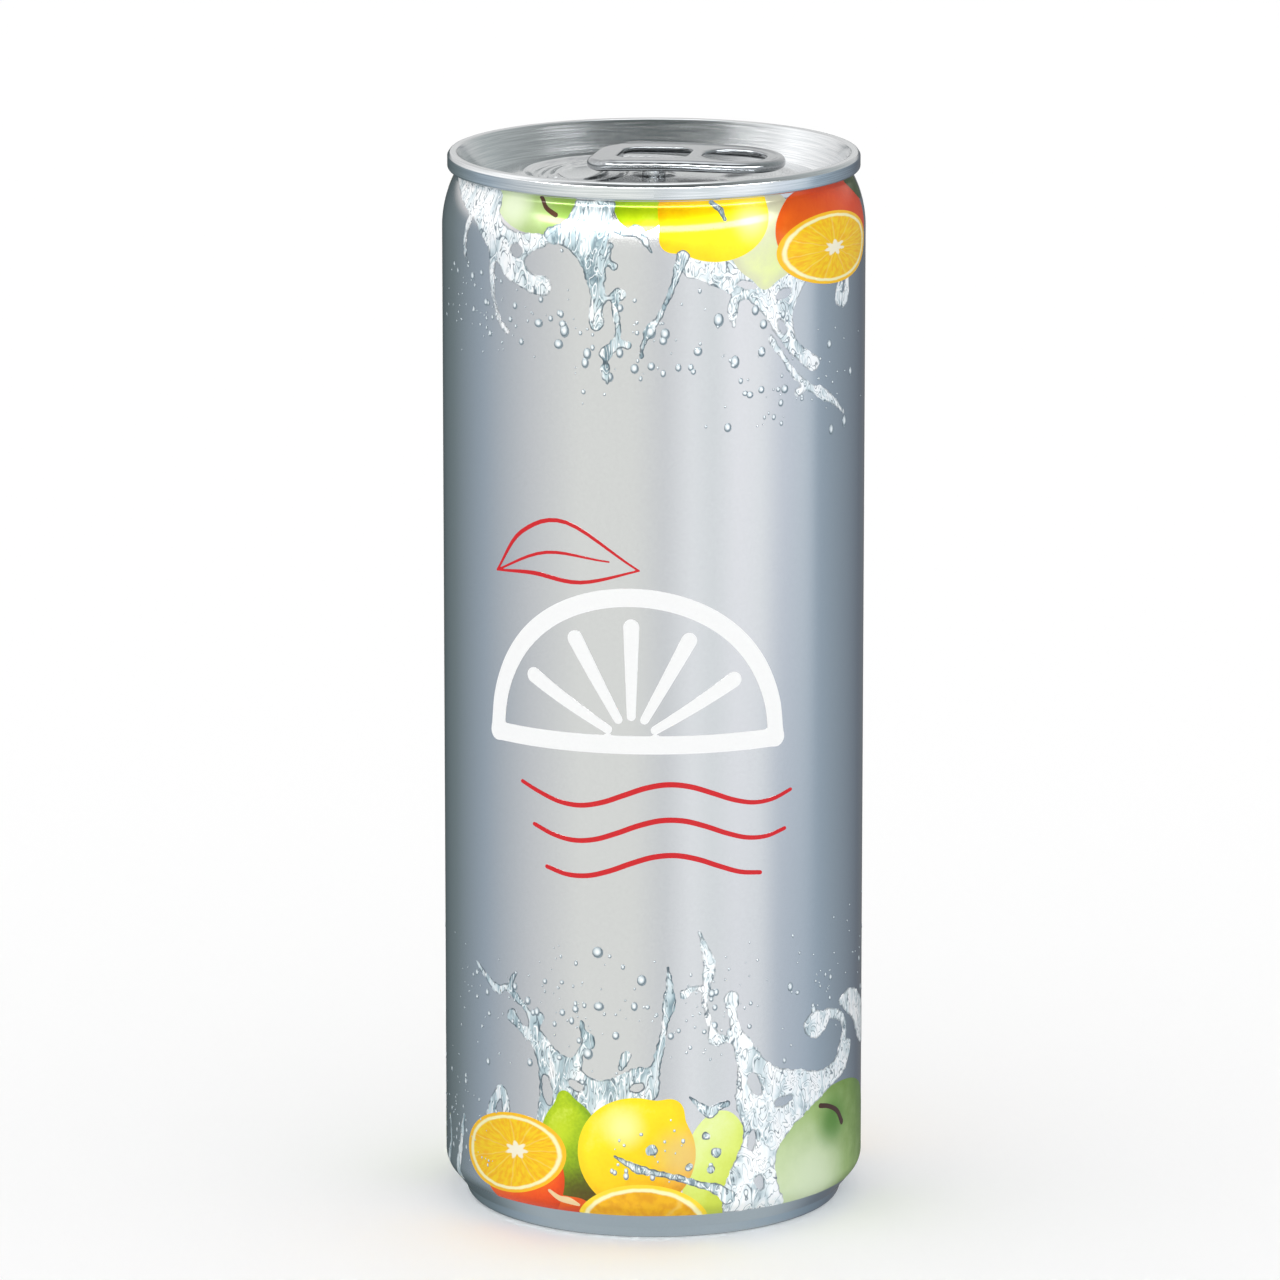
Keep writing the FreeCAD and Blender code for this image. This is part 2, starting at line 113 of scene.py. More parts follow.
def add(tree: Tree, kind: str, *values: object, **named: object) -> Node:
    """Adds one node with its settings and links.

    Args:
        tree: The node tree that gets it.
        kind: The node's type, without "ShaderNode" if it starts so, and after a colon the mode
            that MODES names for it.
        values: Its first inputs in order, of those that its settings leave in use. Each is a
            number, a vector, a hex colour, a socket, or a node for that node's first output.
        named: Settings by their lower-case names and inputs by their own. "stops" holds a
            ramp's (place, colour) pairs.

    Returns:
        The new node.
    """
    kind, _, mode = kind.partition(":")
    node = tree.nodes.new(kind if "Node" in kind else "ShaderNode" + kind)
    inputs = {name: named.pop(name) for name in list(named) if name[0].isupper()}
    stops = named.pop("stops", ())
    if mode:
        setattr(node, MODES[kind], mode)
    for name, value in named.items():
        setattr(node, name, value)
    while stops and len(node.color_ramp.elements) < len(stops):
        node.color_ramp.elements.new(1.0)
    for (place, colour), element in zip(stops, node.color_ramp.elements if stops else ()):
        element.position = place
        element.color = linear(colour) if isinstance(colour, str) else (*colour, 1.0)
    in_use = [socket for socket in node.inputs if socket.enabled]
    pairs = [*zip(in_use, values), *((node.inputs[name], value) for name, value in inputs.items())]
    for socket, value in pairs:
        if isinstance(value, Node):
            value = next(out for out in value.outputs if out.enabled)
        if isinstance(value, Socket):
            tree.links.new(value, socket)
        else:
            is_hex = isinstance(value, str) and value.startswith("#")
            socket.default_value = linear(value) if is_hex else value
    return node


# ---- finishes ------------------------------------------------------------------------------


@dataclass(frozen=True)
class Finish:
    """A finish with a name, gloss and a colour that subclasses draw."""

    name: str
    metallic: float = 0.0
    roughness: float = 0.35
    varnish: float = 1.0
    specular: float = 0.5

    def colour(self, tree: Tree) -> Node:
        """The base colour, as a socket or linear RGBA."""
        raise NotImplementedError

    def relief(self, tree: Tree) -> Node | None:
        """The fine relief as a normal socket, or None where there isn't one."""
        return None

    def gloss(self, tree: Tree) -> Node | float:
        """The roughness, as a socket or a number."""
        return self.roughness

    def material(self) -> bpy.types.Material:
        """Builds the material once and returns it from then on.

        Returns:
            The material.
        """
        found = bpy.data.materials.get(self.name)
        if found:
            return found
        made = bpy.data.materials.new(self.name)
        made.use_nodes = True
        tree = made.node_tree
        tree.nodes.clear()
        inputs = {
            "Base Color": self.colour(tree),
            "Metallic": self.metallic,
            "Roughness": self.gloss(tree),
            "Coat Weight": self.varnish,
            "Coat Roughness": 0.04,
            "Specular IOR Level": self.specular,
            "Coat IOR": 1.52,
        }
        normal = self.relief(tree)
        if normal is not None:
            inputs["Normal"] = normal
        add(tree, "OutputMaterial", Surface=add(tree, "BsdfPrincipled", **inputs))
        return made


@dataclass(frozen=True)
class SilverInk(Finish):
    """Drawn aluminium under satin silver ink and gloss varnish, bare and duller below the print.

    The flakes lie flat, so reflections stay clear but soft at their edges, and the bare chime is
    a cooler, darker grey where the punch has scuffed it.
    """

    silver: str = "#BFBEBF"
    bare: str = "#ABB4BA"
    flake_mm: float = 0.35

    def _printed(self, tree: Tree) -> Node:
        """1 on the print and 0 on the bare chime.

        Args:
            tree: The node tree.

        Returns:
            The mask's node.
        """
        _, _, height = add(tree, "SeparateXYZ", add(tree, "TexCoord").outputs["Object"]).outputs
        return add(
            tree, "MapRange:SMOOTHSTEP", height, (PRINT_EDGE_Z - 0.04) * MM,
            (PRINT_EDGE_Z + 0.04) * MM,
        )

    def colour(self, tree: Tree) -> Node:
        """Silver on the print, with faint mottling of the flakes, and bare metal under it.

        Args:
            tree: The node tree.

        Returns:
            The colour's node.
        """
        place = add(tree, "TexCoord").outputs["Object"]
        noise = add(tree, "TexNoise", Vector=place, Scale=1 / (self.flake_mm * MM), Detail=2.0)
        mottle = add(tree, "Math:MULTIPLY_ADD", noise, 0.08, 0.96)
        silver = add(tree, "Mix:RGBA", self._printed(tree), self.bare, self.silver)
        return add(tree, "Mix:RGBA", 1.0, silver, mottle, blend_type="MULTIPLY")

    def gloss(self, tree: Tree) -> Node | float:
        """Clear on the print and duller on the bare chime."""
        return add(tree, "Math:MULTIPLY_ADD", self._printed(tree), self.roughness - 0.3, 0.3)


@dataclass(frozen=True)
class BrushedAluminium(Finish):
    """Aluminium sheet with clear lacquer, its fine lines running round the can or along the tab.

    Rolling and turning leave lines a few hundredths of a millimetre apart, drawn here at
    line_mm so that they show. They stretch each highlight across themselves.
    """

    tone: str = "#D2D3D4"
    shade: str = "#BBBEC0"
    line_mm: float = 0.12
    run_mm: float = 6.0
    turned: bool = True
    depth: float = 0.25

    def _lines(self, tree: Tree) -> Node:
        """Noise drawn out along the lines.

        Args:
            tree: The node tree.

        Returns:
            The noise's node.
        """
        place = add(tree, "TexCoord").outputs["Object"]
        x, y, z = add(tree, "SeparateXYZ", place).outputs
        across, along = 1 / (self.line_mm * MM), 1 / (self.run_mm * MM)
        if self.turned:
            radius = add(tree, "VectorMath:LENGTH", add(tree, "CombineXYZ", x, y))
            turn = add(tree, "Math:ARCTAN2", x, y)
            parts = (
                add(tree, "Math:MULTIPLY", turn, 24 * MM * along),
                add(tree, "Math:MULTIPLY", radius, across), add(tree, "Math:MULTIPLY", z, across),
            )
        else:
            parts = (
                add(tree, "Math:MULTIPLY", x, along), add(tree, "Math:MULTIPLY", y, across),
                add(tree, "Math:MULTIPLY", z, across),
            )
        vector = add(tree, "CombineXYZ", *parts)
        return add(tree, "TexNoise", Vector=vector, Scale=1.0, Detail=3.0)

    def colour(self, tree: Tree) -> Node:
        """The sheet's tone, streaked along its lines."""
        streak = add(tree, "MapRange:SMOOTHSTEP", self._lines(tree), 0.3, 0.7)
        return add(tree, "Mix:RGBA", streak, self.shade, self.tone)

    def gloss(self, tree: Tree) -> Node | float:
        """Roughness that follows the lines."""
        return add(tree, "Math:MULTIPLY_ADD", self._lines(tree), 0.16, self.roughness - 0.08)

    def relief(self, tree: Tree) -> Node | None:
        """The lines' own depth."""
        return add(tree, "Bump", Strength=self.depth, Distance=0.01 * MM, Height=self._lines(tree))


@dataclass(frozen=True)
class Ink(Finish):
    """Translucent ink of one colour over bright metal, with a little grain from the plate."""

    metallic: float = 0.3
    roughness: float = 0.3
    varnish: float = 0.6
    specular: float = 0.0
    tone: str = "#FFFFFF"
    grain: float = 0.04

    def place(self, tree: Tree) -> Sequence[Socket]:
        """Millimetres from the shape's middle, across and up, and in from its outline."""
        vector = add(tree, "Attribute", attribute_name="place").outputs["Vector"]
        return add(tree, "SeparateXYZ", vector).outputs

    def noise(
        self, tree: Tree, size: float, stretch: Point = (1.0, 1.0), detail: float = 2.0,
        warp: float = 0.0,
    ) -> Node:
        """Noise over the shape.

        Args:
            tree: The node tree.
            size: Its grain in millimetres.
            stretch: How many times the grain is longer across and up.
            detail: Octaves of finer noise.
            warp: Distortion of the grain.

        Returns:
            A socket from 0 to 1.
        """
        x, y, _ = self.place(tree)
        across = add(tree, "Math:MULTIPLY", x, 1 / (size * stretch[0]))
        up = add(tree, "Math:MULTIPLY", y, 1 / (size * stretch[1]))
        vector = add(tree, "CombineXYZ", across, up)
        return add(tree, "TexNoise", Vector=vector, Scale=1.0, Detail=detail, Distortion=warp)

    def colour(self, tree: Tree) -> Node:
        """One tone with the plate's grain.

        Args:
            tree: The node tree.

        Returns:
            The colour's node.
        """
        grain = add(
            tree, "Math:MULTIPLY_ADD", self.noise(tree, 0.4), self.grain, 1 - self.grain / 2
        )
        return add(tree, "Mix:RGBA", 1.0, self.tone, grain, blend_type="MULTIPLY")


@dataclass(frozen=True)
class PeelInk(Ink):
    """Printed picture of a round fruit's skin, shaded from its lit side, with pores and a rim."""

    stops: tuple[tuple[float, str], ...] = ()
    half: Point = (7.0, 7.0)
    lit_from: Point = (-0.45, 0.9)
    rim_mm: float = 1.6
    rim_dark: float = 0.35
    pore_mm: float = 0.45
    pores: float = 0.10
    spots: tuple[tuple[float, float, float, str], ...] = ()

    def colour(self, tree: Tree) -> Node:
        """Shade, rim, pores and the lit spot.

        Args:
            tree: The node tree.

        Returns:
            The colour's node.
        """
        x, y, depth = self.place(tree)
        lit = add(tree, "Math:MULTIPLY", x, self.lit_from[0] / self.half[0])
        lit = add(tree, "Math:MULTIPLY_ADD", y, self.lit_from[1] / self.half[1], lit)
        value = add(tree, "Math:MULTIPLY_ADD", lit, 0.42, 0.52)
        value = add(
            tree, "Math:MULTIPLY_ADD", self.noise(tree, 2.6), 0.22,
            add(tree, "Math:SUBTRACT", value, 0.11),
        )
        rim = add(tree, "MapRange:SMOOTHSTEP", depth, 0.0, self.rim_mm)
        value = add(
            tree, "Math:MULTIPLY", value,
            add(tree, "Math:MULTIPLY_ADD", rim, self.rim_dark, 1 - self.rim_dark),
        )
        pore = add(tree, "Math:SUBTRACT", self.noise(tree, self.pore_mm, detail=1.0), 0.5)
        value = add(tree, "Math:MULTIPLY_ADD", pore, self.pores, value, use_clamp=True)
        skin = add(tree, "ValToRGB", value, stops=self.stops)
        # Each spot mixes a tone in around a point. Most are the printed picture's own marks; on the
        # two lemons they are a painted reflection of the varnish.
        for across, up, reach, tone in self.spots:
            dx = add(tree, "Math:SUBTRACT", x, across)
            dy = add(tree, "Math:SUBTRACT", y, up)
            away = add(tree, "VectorMath:LENGTH", add(tree, "CombineXYZ", dx, dy))
            near = add(
                tree, "Math:SUBTRACT", 1.0,
                add(tree, "MapRange:SMOOTHSTEP", away, 0.1 * reach, reach),
            )
            skin = add(tree, "Mix:RGBA", add(tree, "Math:MULTIPLY", near, 0.8), skin, tone)
        return skin


@dataclass(frozen=True)
class CutFaceInk(Ink):
    """Printed picture of a cut citrus face: peel, pith, segments of juice cells and a pale core."""

    half: Point = (7.0, 6.0)
    core: Point = (0.0, 0.0)
    segments: int = 11
    flesh: str = "#FFD408"
    flesh_deep: str = "#FBB800"
    pith: str = "#FFF8C0"
    peel: str = "#FFC41C"
    core_size: float = 0.15

    def colour(self, tree: Tree) -> Node:
        """Rings by distance from the middle, and segments by the angle round the core.

        Args:
            tree: The node tree.

        Returns:
            The colour's node.
        """
        x, y, _ = self.place(tree)
        across = add(tree, "Math:DIVIDE", x, self.half[0])
        up = add(tree, "Math:DIVIDE", y, self.half[1])
        ring = add(tree, "VectorMath:LENGTH", add(tree, "CombineXYZ", across, up))
        ring = add(
            tree, "Math:MULTIPLY_ADD", add(tree, "Math:SUBTRACT", self.noise(tree, 1.6), 0.5), 0.05,
            ring,
        )
        cx = add(tree, "Math:SUBTRACT", across, self.core[0])
        cy = add(tree, "Math:SUBTRACT", up, self.core[1])
        spread = add(tree, "VectorMath:LENGTH", add(tree, "CombineXYZ", cx, cy))
        turn = add(tree, "Math:DIVIDE", add(tree, "Math:ARCTAN2", cy, cx), 2 * math.pi)
        wobble = add(tree, "Math:MULTIPLY_ADD", self.noise(tree, 2.2), 0.03, turn)
        wedge = add(tree, "Math:FRACT", add(tree, "Math:MULTIPLY_ADD", wobble, self.segments, 50.0))
        off_wall = add(
            tree, "Math:MULTIPLY",
            add(tree, "Math:ABSOLUTE", add(tree, "Math:SUBTRACT", wedge, 0.5)), 2.0,
        )
        wall = add(
            tree, "MapRange:SMOOTHSTEP",
            add(tree, "Math:MULTIPLY", add(tree, "Math:SUBTRACT", 1.0, off_wall), spread), 0.0,
            0.09,
        )
        cell_place = add(
            tree, "CombineXYZ", add(tree, "Math:MULTIPLY", turn, 70.0),
            add(tree, "Math:MULTIPLY", spread, 5.0),
        )
        cells = add(tree, "TexNoise", Vector=cell_place, Scale=1.0, Detail=2.0)
        flesh = add(
            tree, "Mix:RGBA", add(tree, "MapRange:SMOOTHSTEP", cells, 0.35, 0.68), self.flesh,
            self.flesh_deep,
        )
        veins = add(tree, "Math:MULTIPLY_ADD", wall, 0.3, 0.7)
        flesh = add(tree, "Mix:RGBA", veins, "#FFE684", flesh)
        star = add(tree, "Math:SINE", add(tree, "Math:MULTIPLY", turn, 2 * math.pi * 7))
        star = add(tree, "Math:MULTIPLY_ADD", star, 0.045, spread)
        star = add(
            tree, "Math:MULTIPLY_ADD", add(tree, "Math:SUBTRACT", self.noise(tree, 0.9), 0.5), 0.12,
            star,
        )
        flesh = add(
            tree, "Mix:RGBA",
            add(tree, "MapRange:SMOOTHSTEP", star, self.core_size, self.core_size + 0.05),
            "#FFF6DA", flesh,
        )
        rings = add(
            tree, "Mix:RGBA", add(tree, "MapRange:SMOOTHSTEP", ring, 0.83, 0.87), flesh, self.pith
        )
        return add(
            tree, "Mix:RGBA", add(tree, "MapRange:SMOOTHSTEP", ring, 0.90, 0.94), rings, self.peel
        )


@dataclass(frozen=True)
class WaterInk(Ink):
    """Printed picture of splashing water: grey-blue streaks, white lights and a dark outline."""

    deep: str = "#8298A2"
    middle: str = "#B4C8CF"
    light: str = "#D9E5E9"
    whiteness: float = 0.0
    streak: Point = (0.7, 2.2)
    outline: float = 0.85

    def colour(self, tree: Tree) -> Node:
        """Soft folds, the thin dark and white lines where they bend the light, and an outline.

        Args:
            tree: The node tree.

        Returns:
            The colour's node.
        """
        _, _, depth = self.place(tree)
        folds = self.noise(tree, 2.2, self.streak, detail=3.0, warp=0.9)
        value = add(
            tree, "Math:MULTIPLY_ADD", add(tree, "Math:SUBTRACT", folds, 0.5), 2.8,
            0.5 + self.whiteness, use_clamp=True,
        )
        stops = ((0.0, self.deep), (0.35, self.middle), (0.68, self.light), (1.0, "#FFFFFF"))
        water = add(tree, "ValToRGB", value, stops=stops)
        bends = self.noise(tree, 1.9, self.streak, detail=1.5, warp=1.5)
        lines = (
            (0.43, 0.022, "#566873", 0.85), (0.50, 0.030, "#FFFFFF", 0.95),
            (0.58, 0.018, "#6F828D", 0.7),
        )
        for level, width, tone, amount in lines:
            off = add(tree, "Math:ABSOLUTE", add(tree, "Math:SUBTRACT", bends, level))
            line = add(
                tree, "Math:SUBTRACT", 1.0,
                add(tree, "MapRange:SMOOTHSTEP", off, 0.2 * width, width),
            )
            water = add(tree, "Mix:RGBA", add(tree, "Math:MULTIPLY", line, amount), water, tone)
        edge = add(tree, "Math:SUBTRACT", 1.0, add(tree, "MapRange:SMOOTHSTEP", depth, 0.08, 0.26))
        patches = add(tree, "MapRange:SMOOTHSTEP", self.noise(tree, 1.5), 0.36, 0.54)
        edge = add(tree, "Math:MULTIPLY", add(tree, "Math:MULTIPLY", edge, patches), self.outline)
        return add(tree, "Mix:RGBA", edge, water, "#46555F")


@dataclass(frozen=True)
class DropInk(Ink):
    """Printed picture of a flying drop: dark rim, clear middle and one white light."""

    rim_tone: str = "#5D6C76"

    def colour(self, tree: Tree) -> Node:
        """Ramp from the drop's middle to its rim, lit at the upper left.

        Args:
            tree: The node tree.

        Returns:
            The colour's node.
        """
        x, y, _ = self.place(tree)
        away = add(tree, "VectorMath:LENGTH", add(tree, "CombineXYZ", x, y))
        lean = add(tree, "Math:MULTIPLY_ADD", x, 0.22, add(tree, "Math:MULTIPLY", y, -0.26))
        value = add(tree, "Math:ADD", away, lean, use_clamp=True)
        stops = (
            (0.0, "#FFFFFF"), (0.34, "#E6EDF0"), (0.62, "#A9B6BD"), (0.86, self.rim_tone),
            (1.0, "#8F9CA4"),
        )
        return add(tree, "ValToRGB", value, stops=stops)


# ---- meshes --------------------------------------------------------------------------------


def show(
    name: str, points: np.ndarray, faces: Sequence[Sequence[int]], finish: Finish,
    place: np.ndarray | None = None, crease: float = 38.0,
) -> bpy.types.Object:
    """Makes one closed piece of the object and rides it on the can.

    Args:
        name: The piece's name.
        points: Vertices in millimetres, one a row.
        faces: Vertex numbers of each face.
        finish: Its material.
        place: Vector that the finish reads at each vertex.
        crease: Angle in degrees past which an edge is sharp.

    Returns:
        The new object.
    """
    first = np.array([f[0] for f in faces])
    volume = 0.0
    for start in (1, 2):
        chosen = np.array(
            [(f[start], f[start + 1]) if len(f) > start + 1 else (f[0], f[0]) for f in faces]
        )
        volume += np.einsum(
            "ij,ij->", points[first], np.cross(points[chosen[:, 0]], points[chosen[:, 1]])
        )
    if volume < 0:
        faces = [tuple(reversed(f)) for f in faces]
    mesh = bpy.data.meshes.new(name)
    mesh.from_pydata((points * MM).tolist(), [], [tuple(int(i) for i in f) for f in faces])
    if place is not None:
        attribute = mesh.attributes.new("place", "FLOAT_VECTOR", "POINT")
        attribute.data.foreach_set("vector", place.astype(np.float32).ravel())
    mesh.shade_smooth()
    mesh.set_sharp_from_angle(angle=math.radians(crease))
    mesh.update()
    piece = bpy.data.objects.new(name, mesh)
    bpy.context.scene.collection.objects.link(piece)
    return adopt(piece, finish)


def adopt(piece: bpy.types.Object, finish: Finish) -> bpy.types.Object:
    """Gives a piece its finish and rides it on the can.

    Args:
        piece: Its object.
        finish: Its finish.

    Returns:
        The same piece.
    """
    piece.data.materials.clear()
    piece.data.materials.append(finish.material())
    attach(piece, "root")
    log.info("%s: %d faces, %s", piece.name, len(piece.data.polygons), finish.name)
    return piece


def rounded(corners: Sequence[Triple], step: float) -> list[Point]:
    """A section through (radius, height, rounding) corners, each turned into an arc of points.

    Args:
        corners: (radius, height, rounding) of each corner.
        step: Longest run in millimetres.

    Returns:
        (radius, height) points.
    """
    done = [corners[0][:2]]
    for (ax, ay, _), (bx, by, rounding), (cx, cy, _) in zip(corners, corners[1:], corners[2:]):
        corner = Vector((bx, by))
        back, on = (
            Vector((ax, ay)) - corner
        ).normalized(), (Vector((cx, cy)) - corner).normalized()
        half = back.angle(on) / 2
        if not rounding or half > math.radians(89.9):
            done.append((bx, by))
            continue
        centre = corner + (back + on).normalized() * (rounding / math.sin(half))
        start = corner + back * (rounding / math.tan(half)) - centre
        end = corner + on * (rounding / math.tan(half)) - centre
        turn = math.pi - 2 * half
        count = max(2, math.ceil(rounding * turn / step))
        way = 1 if start.x * end.y - start.y * end.x > 0 else -1
        for i in range(count + 1):
            angle = way * turn * i / count
            cos_a, sin_a = math.cos(angle), math.sin(angle)
            done.append((
                centre.x + start.x * cos_a - start.y * sin_a,
                centre.y + start.x * sin_a + start.y * cos_a,
            ))
    done.append(corners[-1][:2])
    return done


def refined(path: Sequence[Point], step: float) -> list[Point]:
    """A path with no run longer than step.

    Args:
        path: (radius, height) points.
        step: Longest run in millimetres.

    Returns:
        The path with the points added.
    """
    done = [path[0]]
    for (x0, y0), (x1, y1) in zip(path, path[1:]):
        count = max(1, math.ceil(math.hypot(x1 - x0, y1 - y0) / step))
        done += [
            (x0 + (x1 - x0) * i / count, y0 + (y1 - y0) * i / count) for i in range(1, count + 1)
        ]
    return done


def lathe(section: Sequence[Point], around: int) -> tuple[np.ndarray, Faces]:
    """Turns a section that starts and ends on the axis into a closed surface.

    Args:
        section: (radius, height) points. The first and last have radius 0.
        around: Number of steps round the axis.

    Returns:
        Points, and faces.
    """
    turns = np.arange(around) * 2 * math.pi / around
    inner = np.array(section[1:-1])
    rings = np.stack([
        inner[:, :1] * np.cos(turns), inner[:, :1] * np.sin(turns), np.repeat(
            inner[:, 1:], around, 1
        ),
    ], -1).reshape(-1, 3)
    poles = np.array([(0, 0, section[0][1]), (0, 0, section[-1][1])], float)
    points = np.vstack([rings, poles])
    low, high = len(rings), len(rings) + 1
    faces: Faces = []
    for j in range(around):
        k = (j + 1) % around
        faces.append((low, k, j))
        last = (len(inner) - 1) * around
        faces.append((high, last + j, last + k))
        faces += [
            (i * around + j, i * around + k, (i + 1) * around + k, (i + 1) * around + j)
            for i in range(len(inner) - 1)
        ]
    return points, faces


def smooth_step(value: np.ndarray, low: float, high: float) -> np.ndarray:
    """0 below low, 1 above high and a smooth rise between."""
    t = np.clip((value - low) / (high - low), 0, 1)
    return t * t * (3 - 2 * t)


def turn_about(x: np.ndarray, y: np.ndarray, angle: float) -> tuple[np.ndarray, np.ndarray]:
    """x and y turned about the origin by an angle in radians."""
    cos_a, sin_a = math.cos(angle), math.sin(angle)
    return x * cos_a - y * sin_a, x * sin_a + y * cos_a


# ---- the body ------------------------------------------------------------------------------


@dataclass
class CanBody:
    """The drawn and necked body in silver ink, with its domed base."""

    chime_angle: float = 51.0
    crease: Point = (24.15, 1.5)
    neck_radius: float = 24.85
    neck_foot: float = 131.1
    neck_slope: float = 27.0
    dome_height: float = 9.6
    dome_edge: Point = (21.45, 3.2)
    dome_steps: int = 40
    bead_foot: float = 22.2
    hidden_top: float = 127.2
    around: int = 288
    finish: Finish = SilverInk("satin_silver_ink_on_aluminium", metallic=1.0, roughness=0.17)

    def corners(self) -> list[Triple]:
        """(radius, height, rounding) corners of the outside, from the foot to the seam.

        Returns:
            The corners in order.
        """
        inset = SKIN_INSET
        rise = (BODY_RADIUS - self.crease[0]) * math.tan(math.radians(self.chime_angle))
        slope = math.radians(self.neck_slope)
        drop = (BODY_RADIUS - self.neck_radius) / math.tan(slope)
        scale = (BODY_RADIUS - self.neck_radius) / math.sin(slope) / math.tan(slope / 2)
        return [
            (FOOT_RADIUS, 0.0, 0.0),
            (FOOT_RADIUS + 0.7 - inset, 0.0, 0.75),
            (self.crease[0] - inset, self.crease[1], 0.5),
            (BODY_RADIUS - inset, self.crease[1] + rise, 3.0),
            (BODY_RADIUS - inset, self.neck_foot - drop, 0.92 * scale),
            (self.neck_radius - inset, self.neck_foot, 0.06 * scale),
            (self.neck_radius - inset, SEAM_FOOT_Z + 0.1, 0.0),
        ]

    def outside(self) -> list[Point]:
        """The outside as points."""
        return rounded(self.corners(), 0.15)

    def radius(self, height: np.ndarray) -> np.ndarray:
        """Radius of the outside at a height.

        Args:
            height: Heights in millimetres.

        Returns:
            Radii in millimetres.
        """
        path = np.array(self.outside())
        keep = np.concatenate([[True], np.diff(path[:, 1]) > 1e-6])
        return np.interp(height, path[keep, 1], path[keep, 0])

    def section(self) -> list[Point]:
        """The closed section: dome, foot, wall, neck and a hidden top under the end.

        Returns:
            (radius, height) points.
        """
        edge_radius, edge_z = self.dome_edge
        sag = self.dome_height - edge_z
        dome_radius = (edge_radius**2 + sag**2) / (2 * sag)
        sweep = math.asin(edge_radius / dome_radius)
        dome = [
            (dome_radius * math.sin(turn), self.dome_height - dome_radius * (1 - math.cos(turn)))
            for turn in (sweep * i / self.dome_steps for i in range(self.dome_steps - 1))
        ]
        foot = rounded([
            (*dome[-1], 0.0), (edge_radius, edge_z, 1.2), (self.bead_foot, 0.0, 0.75),
            (FOOT_RADIUS, 0.0, 0.0),
        ], 0.12)
        top = [(24.2, SEAM_FOOT_Z - 0.1), (24.0, self.hidden_top), (0.0, self.hidden_top)]
        return dome + foot[1:] + refined(self.outside(), 6.0)[1:] + top

    def build(self) -> bpy.types.Object:
        """Makes the body.

        Returns:
            What it made.
        """
        points, faces = lathe(self.section(), self.around)
        piece = show("body_shell", points, faces, self.finish)
        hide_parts("can_body")
        return piece


# ---- the end -------------------------------------------------------------------------------


